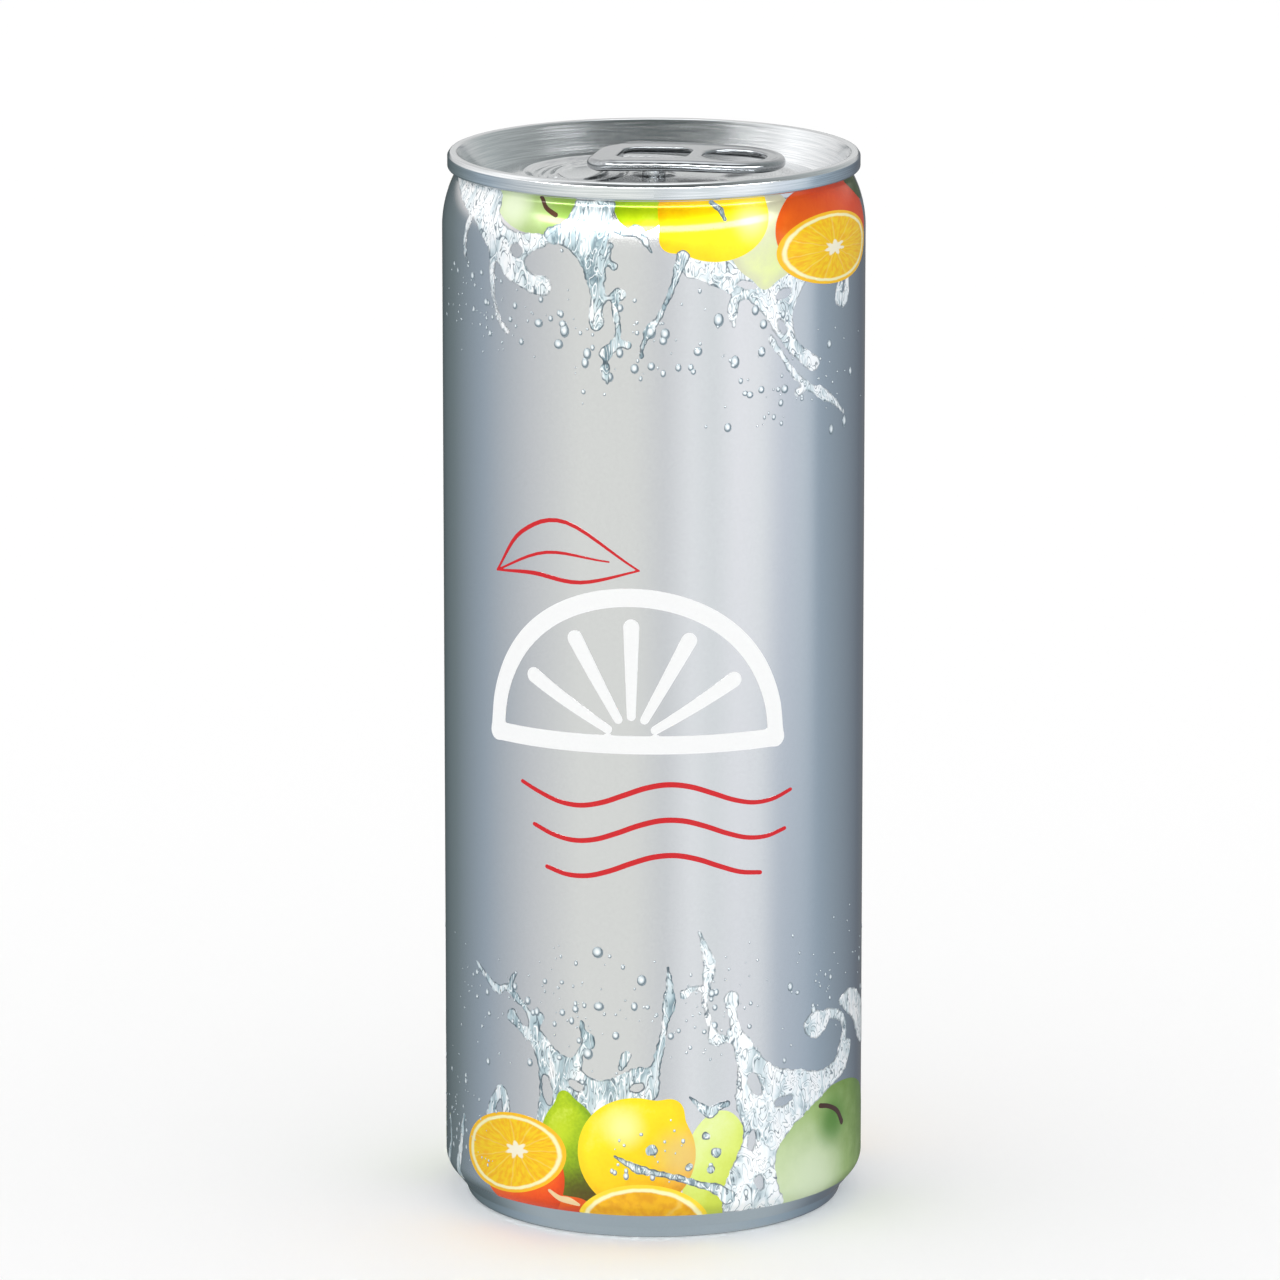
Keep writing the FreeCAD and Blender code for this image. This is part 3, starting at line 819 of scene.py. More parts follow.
@dataclass
class CanEnd:
    """The rolled end: seam, chuck wall, countersink and a panel with all that is pressed in it."""

    panel_z: float = 131.2
    flat_radius: float = 17.6
    panel_radius: float = 21.3
    panel_fall: float = 0.85
    groove_z: float = 127.9
    seam_radius: float = 25.75
    seam_inner: float = 24.6
    sheet: float = 0.25
    recess_depth: float = 0.3
    boss_height: float = 0.95
    boss_rise: float = 0.15     # share of that height left to see beside the rivet's head
    mouth: Triple = (-8.9, 5.2, 8.8)        # middle along the tab, and half sizes
    bead: Triple = (-9.2, 3.0, 6.3)
    bump: Point = (-11.6, 5.2)
    round_ends: tuple[Point, Point] = ((-3.2, 12.5), (10.2, 7.6))   # keyhole's middles and radii
    around: int = 384
    finish: Finish = BrushedAluminium(
        "lacquered_aluminium_end", metallic=1.0, roughness=0.16, varnish=0.3
    )

    def upper(self) -> list[Point]:
        """Upper face from the middle to the seam's foot.

        Returns:
            (radius, height) points.
        """
        corners = [
            (0.0, self.panel_z, 0.0),
            (self.flat_radius, self.panel_z, 12.0),
            (self.panel_radius, self.panel_z - self.panel_fall, 0.6),
            (self.panel_radius + 0.15, self.groove_z, 0.15),
            (self.panel_radius + 0.55, self.groove_z, 0.15),
            (self.seam_inner, TOTAL_HEIGHT, 0.3),
            (self.seam_radius - 0.34, TOTAL_HEIGHT, 0.3),
            (self.seam_radius, TOTAL_HEIGHT - 0.5, 0.3),
            (self.seam_radius, SEAM_FOOT_Z, 0.45),
            (24.5, SEAM_FOOT_Z, 0.0),
        ]
        path = rounded(corners, 0.09)
        flat = self.flat_radius - 2.0
        middle = [(flat * i / 64, self.panel_z) for i in range(65)]
        return middle + refined(path[1:], 0.4)

    def lower(self) -> list[Point]:
        """Lower face from the seam's foot back to the middle, one sheet under the upper one.

        Returns:
            (radius, height) points.
        """
        return [
            (24.3, 131.9), (22.55, 128.2), (22.4, self.groove_z - self.sheet),
            (21.3, self.groove_z - self.sheet), (21.05, 130.1), (17.6, self.panel_z - self.sheet),
        ] + [(15.6 * (1 - i / 48), self.panel_z - self.sheet) for i in range(49)]

    def pressed(self, x: np.ndarray, y: np.ndarray) -> np.ndarray:
        """Height of all that is pressed into the panel, in the tab's frame.

        Args:
            x: Millimetres along the tab from the rivet.
            y: Millimetres across the tab.

        Returns:
            Height over the plain panel in millimetres.
        """
        recess = self.keyhole(x, y)
        height = -self.recess_depth * (1 - smooth_step(recess, -0.45, 0.15))
        height += 0.07 * np.exp(-((recess - 0.55) / 0.3) ** 2)
        mouth = self.oval(x - self.mouth[0], y, *self.mouth[1:])
        height -= 0.12 * np.exp(-(mouth / 0.16) ** 2)
        height += 0.05 * np.exp(-((mouth + 0.55) / 0.25) ** 2)
        bead = self.oval(x - self.bead[0], y, *self.bead[1:])
        height += 0.24 * np.exp(-(bead / 0.42) ** 2) * (1 - smooth_step(x, -6.6, -5.6))
        for side in (-1, 1):
            away = np.hypot(x - self.bump[0], y - side * self.bump[1])
            height += 0.32 * (1 - smooth_step(away, 0.2, 0.95))
        height += self.boss_rise * self.boss_height * (1 - smooth_step(np.hypot(x, y), 1.7, 3.0))
        height -= 0.35 * (1 - smooth_step(np.hypot((x - 12.4) / 1.0, y / 1.15), 2.0, 4.6))
        return height

    def keyhole(self, x: np.ndarray, y: np.ndarray) -> np.ndarray:
        """Distance outside the recess: a large round at the mouth, a small one at the heel.

        Args:
            x: Millimetres along the tab from the rivet.
            y: Millimetres across the tab.

        Returns:
            Millimetres outside, negative within.
        """
        (big_x, big), (small_x, small) = self.round_ends
        run = small_x - big_x
        lean = (big - small) / run
        straight = math.sqrt(1 - lean * lean)
        px, py = np.abs(y), x - big_x
        along = -lean * px + straight * py
        return np.where(
            along < 0, np.hypot(px, py) - big,
            np.where(
                along > straight * run, np.hypot(px, py - run) - small,
                px * straight + py * lean - big,
            ),
        )

    @staticmethod
    def oval(x: np.ndarray, y: np.ndarray, half_x: float, half_y: float) -> np.ndarray:
        """Rough distance outside an ellipse."""
        ring = np.hypot(x / half_x, y / half_y) + 1e-6
        return ring * (ring - 1) / (np.hypot(x / half_x**2, y / half_y**2) + 1e-6)

    def build(self) -> list[bpy.types.Object]:
        """Makes the end and the rivet's head.

        Returns:
            What it made.
        """
        section = self.upper() + self.lower()
        points, faces = lathe(section, self.around)
        x, y = turn_about(points[:, 0], points[:, 1], -TAB_TURN)
        panel = np.hypot(x, y) < 20.5
        points[panel, 2] += self.pressed(x[panel], y[panel])
        end = show("rolled_end", points, faces, self.finish, crease=60)
        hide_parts("can_end")
        foot = self.panel_z - self.recess_depth + self.boss_height
        button = [
            (0.0, foot - 0.95), (1.5, foot - 0.95), (1.52, foot + 0.24), (2.2, foot + 0.27),
            (2.36, foot + 0.36),
            (2.34, foot + 0.5), (2.2, foot + 0.6), (1.9, foot + 0.64), (1.3, foot + 0.6),
            (0.9, foot + 0.5),
            (0.5, foot + 0.47), (0.0, foot + 0.46),
        ]
        points, faces = lathe(button, 72)
        return [end, show("rivet_head", points, faces, self.finish, crease=60)]


# ---- the pull tab --------------------------------------------------------------------------


@dataclass
class PullTab:
    """The stay-on tab: one sheet with its edge curled under, a sunk tongue and a finger hole."""

    top: float = 133.93
    nose_reach: float = 7.9
    heel_reach: float = 16.6
    half_width: float = 7.8
    heel_radius: float = 7.1
    nose_round: float = 5.0
    curl: float = 0.74
    # Start along the tab, length, width and corner radius of each of the next four.
    finger: Quad = (6.2, 8.0, 8.6, 3.9)
    window: Quad = (-4.4, 9.0, 8.4, 2.6)
    tongue: Quad = (-5.4, 8.6, 5.6, 2.4)
    hinge: Quad = (-5.6, 1.3, 5.6, 0.5)
    tongue_z: float = 132.1
    tube_sides: int = 14
    arch: float = 0.0023        # how much it bends down away from its middle
    arch_x: float = 3.5
    voxel: float = 0.115
    # The tab's tone and shade are set far darker than the end's aluminium. This is painted shade
    # over the whole tab, which shows most on its flat top.
    finish: Finish = BrushedAluminium(
        "rolled_aluminium_tab_with_painted_shade", metallic=1.0, roughness=0.17, varnish=0.3, tone="#9FA2A4",
        shade="#8E9194", line_mm=0.18, run_mm=9.0, turned=False, depth=0.12,
    )

    def outline(self, inset: float, count: int = 168) -> np.ndarray:
        """Points round the tab, moved in by inset.

        Args:
            inset: Millimetres inside the tab's edge.
            count: Number of points.

        Returns:
            (x, y) points, one a row.
        """
        heel = self.heel_radius
        heel_x = self.heel_reach - heel
        corner = self.nose_round
        nose_x = -self.nose_reach + corner
        lean = math.atan2(self.half_width - heel, heel_x - nose_x)
        start = math.pi / 2 - lean
        path = [(heel_x + (heel - inset) * math.cos(t), (heel - inset) * math.sin(t))
                for t in np.linspace(-start, start, 40)]
        centre_y = self.half_width - corner
        bend = corner - inset
        path += [(nose_x + bend * math.cos(t), centre_y + bend * math.sin(t))
                 for t in np.linspace(start, math.pi, 24)]
        path += [(x, -y) for x, y in reversed(path[40:])]
        loop = np.array(path + path[:1])
        length = np.concatenate([[0], np.cumsum(np.hypot(*np.diff(loop, axis=0).T))])
        at = np.linspace(0, length[-1], count, endpoint=False)
        return np.stack([np.interp(at, length, loop[:, 0]), np.interp(at, length, loop[:, 1])], -1)

    @staticmethod
    def slot_outline(start: float, length: float, width: float, corner: float) -> np.ndarray:
        """A rounded rectangle along the tab, from start.

        Args:
            start: Where it starts along the tab, in millimetres.
            length: Its length.
            width: Its width.
            corner: Radius of its corners.

        Returns:
            (x, y) points, one a row.
        """
        near, far, side = start + corner, start + length - corner, width / 2 - corner
        centres = [(far, side, 0), (near, side, 1), (near, -side, 2), (far, -side, 3)]
        return np.array([
            (x + corner * math.cos(t), y + corner * math.sin(t))
            for x, y, q in centres for t in np.linspace(q * math.pi / 2, (q + 1) * math.pi / 2, 9)
        ])

    def tube(
        self, loop: np.ndarray, height: np.ndarray, wide: float, tall: float
    ) -> tuple[np.ndarray, Faces]:
        """A closed ring of tube along a loop.

        Args:
            loop: (x, y) points round the tube's middle.
            height: Height of the middle at each point.
            wide: Half of its width.
            tall: Half of its height.

        Returns:
            Points, and faces.
        """
        ahead = np.roll(loop, -1, 0) - np.roll(loop, 1, 0)
        ahead /= np.linalg.norm(ahead, axis=1, keepdims=True)
        side = np.stack([ahead[:, 1], -ahead[:, 0]], -1)
        n, m = len(loop), self.tube_sides
        turns = np.arange(m) * 2 * math.pi / m
        points = np.concatenate([
            loop[:, None, :] + side[:, None, :] * (wide * np.cos(turns))[None, :, None],
            (height[:, None] + tall * np.sin(turns)[None, :])[..., None],
        ], -1).reshape(-1, 3)
        faces = [
            (i * m + j, i * m + (j + 1) % m, (i + 1) % n * m + (j + 1) % m, (i + 1) % n * m + j)
            for i in range(n) for j in range(m)
        ]
        return points, faces

    @staticmethod
    def plate(loops: Sequence[np.ndarray], low: float, high: float) -> tuple[np.ndarray, Faces]:
        """A flat plate with holes: the first loop is its outline and the others are holes.

        Args:
            loops: (x, y) points of each outline.
            low: Lower end.
            high: Upper end.

        Returns:
            Points, and faces.
        """
        curve = bpy.data.curves.new("plate_outline", "CURVE")
        curve.dimensions = "2D"
        curve.fill_mode = "BOTH"
        curve.extrude = (high - low) / 2
        for loop in loops:
            spline = curve.splines.new("POLY")
            spline.points.add(len(loop) - 1)
            for point, (x, y) in zip(spline.points, loop):
                point.co = (x, y, 0, 1)
            spline.use_cyclic_u = True
        holder = bpy.data.objects.new("plate_outline", curve)
        mesh = bpy.data.meshes.new_from_object(holder)
        points = np.array([v.co for v in mesh.vertices]) + (0, 0, (low + high) / 2)
        faces = [tuple(p.vertices) for p in mesh.polygons]
        bpy.data.objects.remove(holder)
        bpy.data.curves.remove(curve)
        bpy.data.meshes.remove(mesh)
        return points, faces

    def parts(self) -> list[tuple[np.ndarray, Faces]]:
        """All the overlapping shapes that the sheet is pressed into.

        Returns:
            Points and faces of each shape.
        """
        top, curl = self.top, self.curl
        rail = self.outline(curl)
        nose = 1 - smooth_step(rail[:, 0], -5.6, -4.2)
        slots = (self.finger, self.window, self.tongue, self.hinge)
        finger, window, tongue, hinge = (self.slot_outline(*slot) for slot in slots)
        under = self.tongue_z
        return [
            self.tube(rail, top - curl - 0.16 * nose, curl, curl),
            self.plate([self.outline(0.5), finger, window], top - 0.46, top - 0.16),
            self.tube(
                finger + (finger - finger.mean(0)) * 0.09, np.full(len(finger), top - 0.46), 0.42,
                0.36,
            ),
            self.tube(
                window + (window - window.mean(0)) * 0.05, np.full(len(window), top - 0.4), 0.22,
                0.2,
            ),
            self.plate([tongue], under - 0.24, under + 0.02),
            self.plate([hinge], under - 0.24, top - 0.2),
        ]

    def build(self) -> bpy.types.Object:
        """Joins the shapes into one skin, relaxes it and bends it a little along its length.

        Returns:
            What it made.
        """
        points, faces, base = [], [], 0
        for part_points, part_faces in self.parts():
            points.append(part_points)
            faces += [tuple(base + i for i in face) for face in part_faces]
            base += len(part_points)
        mesh = bpy.data.meshes.new("tab_parts")
        mesh.from_pydata(np.vstack(points).tolist(), [], faces)
        holder = bpy.data.objects.new("tab_parts", mesh)
        bpy.context.scene.collection.objects.link(holder)
        weld = holder.modifiers.new("weld", "WELD")
        weld.merge_threshold = 0.001
        remesh = holder.modifiers.new("skin", "REMESH")
        remesh.mode = "VOXEL"
        remesh.voxel_size = self.voxel
        relax = holder.modifiers.new("relax", "CORRECTIVE_SMOOTH")
        relax.use_only_smooth = True
        relax.iterations = 4
        relax.factor = 0.5
        skin = bpy.data.meshes.new_from_object(
            holder.evaluated_get(bpy.context.evaluated_depsgraph_get())
        )
        flat = np.array([v.co for v in skin.vertices])
        skin_faces = [tuple(p.vertices) for p in skin.polygons]
        bpy.data.objects.remove(holder)
        along = flat[:, 0] - self.arch_x
        flat[:, 2] -= self.arch * along ** 2 * smooth_step(np.abs(along), 0, 4)
        turned = flat.copy()
        turned[:, 0], turned[:, 1] = turn_about(flat[:, 0], flat[:, 1], TAB_TURN)
        piece = show("tab_sheet", turned, skin_faces, self.finish, crease=80)
        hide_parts("pull_tab")
        return piece


# ---- the print -----------------------------------------------------------------------------


def arc(degrees: float) -> float:
    """Millimetres round the wall for an angle from the middle of the shown side."""
    return math.radians(degrees) * BODY_RADIUS


def curve_through(points: Sequence[Sequence[float]], closed: bool, steps: int) -> np.ndarray:
    """A smooth path through points, as Catmull-Rom pieces.

    Args:
        points: The points to pass through.
        closed: Whether the path comes back to its start.
        steps: Points from each knot to the next.

    Returns:
        The path's points, one a row.
    """
    knots = np.array(points, float)
    count = len(knots)
    if closed:
        knots = np.vstack([knots[-1:], knots, knots[:2]])
    else:
        knots = np.vstack([2 * knots[:1] - knots[1:2], knots, 2 * knots[-1:] - knots[-2:-1]])
        count -= 1
    done = []
    for a, b, c, d in (knots[i:i + 4] for i in range(count)):
        for t in np.arange(steps) / steps:
            done.append(0.5 * (2 * b + (c - a) * t + (2 * a - 5 * b + 4 * c - d) * t**2
                               + (3 * b - 3 * c + d - a) * t**3))
    if not closed:
        done.append(knots[-2])
    return np.array(done)


def smooth_union(first: np.ndarray, second: np.ndarray, reach: float) -> np.ndarray:
    """The smaller of two distances, rounded where they meet."""
    mix = np.clip(0.5 + 0.5 * (second - first) / reach, 0, 1)
    return second * (1 - mix) + first * mix - reach * mix * (1 - mix)


def off_segment(
    u: np.ndarray, v: np.ndarray, start: Sequence[float], end: Sequence[float]
) -> tuple[np.ndarray, np.ndarray]:
    """Distance from a straight segment, and where along it, from 0 to 1, the nearest point is.

    Args:
        u: Millimetres round the wall.
        v: Height in millimetres.
        start: The segment's start, its place in the first two numbers.
        end: The segment's end, likewise.

    Returns:
        Millimetres from the segment, and the share of its length.
    """
    (x0, y0), (x1, y1) = start[:2], end[:2]
    run = max((x1 - x0) ** 2 + (y1 - y0) ** 2, 1e-9)
    t = np.clip(((u - x0) * (x1 - x0) + (v - y0) * (y1 - y0)) / run, 0, 1)
    return np.hypot(u - x0 - t * (x1 - x0), v - y0 - t * (y1 - y0)), t


@dataclass(frozen=True)
class Stroke:
    """A tapered run through (degrees, height, half width) points."""

    points: tuple[Triple, ...]

    def distance(self, u: np.ndarray, v: np.ndarray) -> np.ndarray:
        """Distance outside the stroke in millimetres.

        Args:
            u: Millimetres round the wall.
            v: Height in millimetres.

        Returns:
            Millimetres outside, negative within.
        """
        if len(self.points) == 1:
            degrees, height, half = self.points[0]
            return np.hypot(u - arc(degrees), v - height) - half
        path = curve_through([(arc(a), z, w) for a, z, w in self.points], False, 6)
        best = np.full(u.shape, 1e3)
        for start, end in zip(path, path[1:]):
            away, share = off_segment(u, v, start, end)
            best = np.minimum(best, away - (start[2] + share * (end[2] - start[2])))
        return best


@dataclass(frozen=True)
class Patch:
    """A region inside a smooth outline through (degrees, height) points."""

    points: tuple[Point, ...]

    def distance(self, u: np.ndarray, v: np.ndarray) -> np.ndarray:
        """Distance outside the region in millimetres, negative within it.

        Args:
            u: Millimetres round the wall.
            v: Height in millimetres.

        Returns:
            Millimetres outside, negative within.
        """
        path = curve_through([(arc(a), z) for a, z in self.points], True, 5)
        best = np.full(u.shape, 1e3)
        inside = np.zeros(u.shape, bool)
        for (x0, y0), (x1, y1) in zip(path, np.roll(path, -1, 0)):
            best = np.minimum(best, off_segment(u, v, (x0, y0), (x1, y1))[0])
            crosses = (y0 > v) != (y1 > v)
            if y1 != y0:
                inside ^= crosses & (u < (x1 - x0) * (v - y0) / (y1 - y0) + x0)
        return np.where(inside, -best, best)


@dataclass(frozen=True)
class Oval:
    """A round fruit or cut face, with a nub where one is given as (degrees, height, radius)."""

    middle: Point
    half: Point
    tilt: float = 0.0
    nub: Triple | None = None

    def distance(self, u: np.ndarray, v: np.ndarray) -> np.ndarray:
        """Rough distance outside the outline in millimetres.

        Args:
            u: Millimetres round the wall.
            v: Height in millimetres.

        Returns:
            Millimetres outside, negative within.
        """
        x, y = turn_about(u - self.middle[0], v - self.middle[1], -math.radians(self.tilt))
        away = CanEnd.oval(x, y, *self.half)
        if self.nub:
            away = smooth_union(
                away, np.hypot(u - arc(self.nub[0]), v - self.nub[1]) - self.nub[2], 1.6
            )
        return away


@dataclass(frozen=True)
class Film:
    """One printed shape: parts joined, holes cut, and an ink."""

    name: str
    ink: Ink
    layer: Layer
    parts: tuple[Stroke | Patch | Oval, ...]
    bounds: Quad                # lowest and highest across, then up, of the grid it is cut from
    holes: tuple[Stroke | Patch | Oval, ...] = ()
    middle: Point = (0.0, 0.0)
    tilt: float = 0.0
    wobble: float = 0.0
    join: float = 0.5
    step: float = 0.26

    def distance(self, u: np.ndarray, v: np.ndarray) -> np.ndarray:
        """Distance outside the whole shape, cut off at the print's two edges.

        Args:
            u: Millimetres round the wall.
            v: Height in millimetres.

        Returns:
            Millimetres outside, negative within.
        """
        away = self.parts[0].distance(u, v)
        for part in self.parts[1:]:
            away = smooth_union(away, part.distance(u, v), self.join)
        for hole in self.holes:
            away = np.maximum(away, -hole.distance(u, v))
        if self.wobble:
            away = away + self.wobble * (
                np.sin(2.1 * u + 1.3 * np.sin(1.7 * v)) * np.sin(1.9 * v + 1.1 * np.sin(2.3 * u))
                + 0.6 * np.sin(4.7 * u + 2.0 * np.sin(1.1 * v)) * np.sin(5.3 * v + 0.7)
            )
        return np.maximum(np.maximum(away, PRINT_EDGE_Z - v), v - SEAM_FOOT_Z + 0.15)

    def trace(self) -> tuple[np.ndarray, np.ndarray, Faces]:
        """Cuts the shape out of a square grid, its outline smooth.

        Returns:
            (across, up) points, depth in from the outline at each, and faces.
        """
        u0, u1, v0, v1 = self.bounds
        us, vs = np.arange(u0, u1, self.step), np.arange(v0, v1, self.step)
        grid_u, grid_v = np.meshgrid(us, vs, indexing="ij")
        value = self.distance(grid_u, grid_v)
        inside = value < 0
        inside[0, :] = inside[-1, :] = inside[:, 0] = inside[:, -1] = False
        index: dict[tuple, int] = {}
        points: list[Point] = []
        depth: list[float] = []

        def keep(key: tuple[int, ...], u: float, v: float, deep: float) -> int:
            """The number of the point with this key, which is added at its first use.

            Args:
                key: Grid numbers that tell the point apart.
                u: Millimetres round the wall.
                v: Height in millimetres.
                deep: Millimetres in from the outline.

            Returns:
                The point's number.
            """
            if key not in index:
                index[key] = len(points)
                points.append((u, v))
                depth.append(deep)
            return index[key]

        faces = []
        some = inside[:-1, :-1] | inside[1:, :-1] | inside[1:, 1:] | inside[:-1, 1:]
        for i, j in zip(*np.nonzero(some)):
            corners = ((i, j), (i + 1, j), (i + 1, j + 1), (i, j + 1))
            ring = []
            for a, b in zip(corners, corners[1:] + corners[:1]):
                if inside[a]:
                    ring.append(keep(a, us[a[0]], vs[a[1]], -value[a]))
                if inside[a] != inside[b]:
                    low, high = min(a, b), max(a, b)
                    gap = value[low] - value[high]
                    t = min(max(value[low] / gap if gap else 0.5, 0.08), 0.92)
                    ring.append(keep(
                        (*low, *high), us[low[0]] + t * (us[high[0]] - us[low[0]]),
                        vs[low[1]] + t * (vs[high[1]] - vs[low[1]]), 0.0,
                    ))
            faces.append(tuple(ring))
        return np.array(points), np.array(depth), faces


@dataclass
class Press:
    """Lays films on the body's wall as closed skins, on the shown side and on the far one."""

    body: CanBody
    under: float = 0.05

    def lay(self, film: Film) -> None:
        """Makes both copies of a film.

        Args:
            film: What is printed.
        """
        flat, depth, faces = film.trace()
        if not len(flat):
            log.warning("%s: nothing to print", film.name)
            return
        across, up = flat[:, 0] - film.middle[0], flat[:, 1] - film.middle[1]
        place = np.stack([*turn_about(across, up, -math.radians(film.tilt)), depth], -1)
        count = len(flat)
        edges = {(a, b) for face in faces for a, b in zip(face, face[1:] + face[:1])}
        sides = [(b, a, a + count, b + count) for a, b in edges if (b, a) not in edges]
        closed = faces + [tuple(i + count for i in reversed(face)) for face in faces] + sides
        wall = self.body.radius(flat[:, 1])
        for side, start in (("shown", 0.0), ("far", math.pi)):
            angle = flat[:, 0] / BODY_RADIUS + start
            layers = [
                np.stack([r * np.sin(angle), -r * np.cos(angle), flat[:, 1]], -1)
                for r in (wall + film.layer.value, wall - self.under)
            ]
            show(
                f"{film.name}_{side}", np.vstack(layers), closed, film.ink,
                np.vstack([place, place]),
            )


@dataclass(frozen=True)
class Spray:
    """Scattered drops: middle (degrees, height), spread in millimetres, count, sizes and seed."""

    middle: Point
    spread: Point
    count: int
    smallest: float
    largest: float
    seed: int


@dataclass
class DropScatter:
    """Geometry Nodes that scatter flat drops over the wall."""

    wall: float = BODY_RADIUS - SKIN_INSET
    thick: float = 0.038
    ink: Ink = DropInk("printed_ink_of_clear_drops", metallic=0.3)
    tree: Tree | None = field(default=None, repr=False)

    def build_tree(self) -> Tree:
        """Builds the node tree once.

        Returns:
            The node tree.
        """
        tree = bpy.data.node_groups.new("scattered_drops", "GeometryNodeTree")
        face = tree.interface
        for name, kind in (
            ("Middle Turn", "NodeSocketFloat"), ("Middle Height", "NodeSocketFloat"),
            ("Spread Turn", "NodeSocketFloat"), ("Spread Height", "NodeSocketFloat"),
            ("Smallest", "NodeSocketFloat"), ("Largest", "NodeSocketFloat"),
            ("Count", "NodeSocketInt"), ("Seed", "NodeSocketInt"),
        ):
            face.new_socket(name, in_out="INPUT", socket_type=kind)
        face.new_socket("Geometry", in_out="OUTPUT", socket_type="NodeSocketGeometry")
        given = add(tree, "NodeGroupInput").outputs

        def random(low: float, high: float, shift: int) -> Node:
            """A random number from low to high for each drop."""
            seed = add(tree, "Math:ADD", given["Seed"], shift)
            return add(tree, "FunctionNodeRandomValue", low, high, Seed=seed, data_type="FLOAT")

        def spread(amount: Socket, shift: int) -> Node:
            """Twice-drawn scatter each way, so that drops gather towards the middle."""
            both = add(tree, "Math:ADD", random(-1.0, 1.0, shift), random(-1.0, 1.0, shift + 1))
            return add(tree, "Math:MULTIPLY", add(tree, "Math:MULTIPLY", both, 0.5), amount)

        turn = add(tree, "Math:ADD", given["Middle Turn"], spread(given["Spread Turn"], 1))
        height = add(tree, "Math:ADD", given["Middle Height"], spread(given["Spread Height"], 3))
        reach = self.wall * MM + 0.01 * MM
        place = add(
            tree, "CombineXYZ", add(tree, "Math:MULTIPLY", add(tree, "Math:SINE", turn), reach),
            add(tree, "Math:MULTIPLY", add(tree, "Math:COSINE", turn), -reach), height,
        )
        line = add(tree, "GeometryNodeMeshLine", Count=given["Count"])
        dots = add(tree, "GeometryNodeMeshToPoints", Mesh=line, Position=place)
        ball = add(tree, "GeometryNodeMeshUVSphere", Segments=10, Rings=5, Radius=1.0)
        x, _, z = add(tree, "SeparateXYZ", add(tree, "GeometryNodeInputPosition")).outputs
        local = add(tree, "CombineXYZ", x, z, 1.0)
        marked = add(
            tree, "GeometryNodeStoreNamedAttribute", Geometry=ball, Name="place", Value=local,
            data_type="FLOAT_VECTOR", domain="POINT",
        )
        flat = add(
            tree, "GeometryNodeTransform", Geometry=marked, Scale=(1.0, self.thick * MM, 1.0)
        )
        size = random(0.0, 1.0, 7)
        size = add(tree, "Math:MULTIPLY", add(tree, "Math:MULTIPLY", size, size), size)
        size = add(
            tree, "Math:MULTIPLY_ADD", size,
            add(tree, "Math:SUBTRACT", given["Largest"], given["Smallest"]), given["Smallest"],
        )
        scale = add(
            tree, "CombineXYZ", size, 1.0, add(tree, "Math:MULTIPLY", size, random(0.85, 1.5, 9))
        )
        aim = add(tree, "CombineXYZ", 0.0, 0.0, turn)
        spots = add(
            tree, "GeometryNodeInstanceOnPoints", Points=dots, Instance=flat, Rotation=aim,
            Scale=scale,
        )
        solid = add(tree, "GeometryNodeRealizeInstances", Geometry=spots)
        smooth = add(tree, "GeometryNodeSetShadeSmooth", Geometry=solid)
        inked = add(tree, "GeometryNodeSetMaterial", Geometry=smooth, Material=self.ink.material())
        add(tree, "NodeGroupOutput", Geometry=inked)
        return tree

    def scatter(self, name: str, sprays: Sequence[Spray], start: float) -> None:
        """Makes one piece a spray, start radians round from the shown side.

        Args:
            name: The start of the pieces' names.
            sprays: The sprays.
            start: Turn from the shown side in radians.
        """
        self.tree = self.tree or self.build_tree()
        sockets = {
            s.name: s.identifier for s in self.tree.interface.items_tree if s.in_out == "INPUT"
        }
        for i, spray in enumerate(sprays):
            holder = bpy.data.objects.new("drops_holder", bpy.data.meshes.new("drops_holder"))
            bpy.context.scene.collection.objects.link(holder)
            modifier = holder.modifiers.new("drops", "NODES")
            modifier.node_group = self.tree
            for key, value in (
                ("Middle Turn", math.radians(spray.middle[0]) + start),
                ("Middle Height", spray.middle[1] * MM),
                ("Spread Turn", spray.spread[0] / BODY_RADIUS),
                ("Spread Height", spray.spread[1] * MM),
                ("Smallest", spray.smallest * MM), ("Largest", spray.largest * MM),
                ("Count", spray.count), ("Seed", spray.seed),
            ):
                modifier[sockets[key]] = value
            mesh = bpy.data.meshes.new_from_object(
                holder.evaluated_get(bpy.context.evaluated_depsgraph_get())
            )
            bpy.data.objects.remove(holder)
            mesh.name = f"{name}_{i}"
            piece = bpy.data.objects.new(mesh.name, mesh)
            bpy.context.scene.collection.objects.link(piece)
            adopt(piece, self.ink)


YELLOW = ((0.0, "#B86A00"), (0.2, "#EFA800"), (0.42, "#FFD200"), (0.7, "#FFE812"), (1.0, "#FFF774"))
LIME = ((0.0, "#4A3A00"), (0.25, "#5F7A00"), (0.5, "#93B800"), (0.75, "#BCD60E"), (1.0, "#E2F05A"))
# Palette of the low pale lime: its printed green, paled and greyed by a painted sheen that stands
# for the varnish's highlight band.
LOW_LIME_WITH_PAINTED_SHEEN = (
    (0.0, "#B4BE50"), (0.3, "#CBD848"), (0.55, "#DDEB74"), (0.8, "#E6F2A0"), (1.0, "#F0F6CC")
)
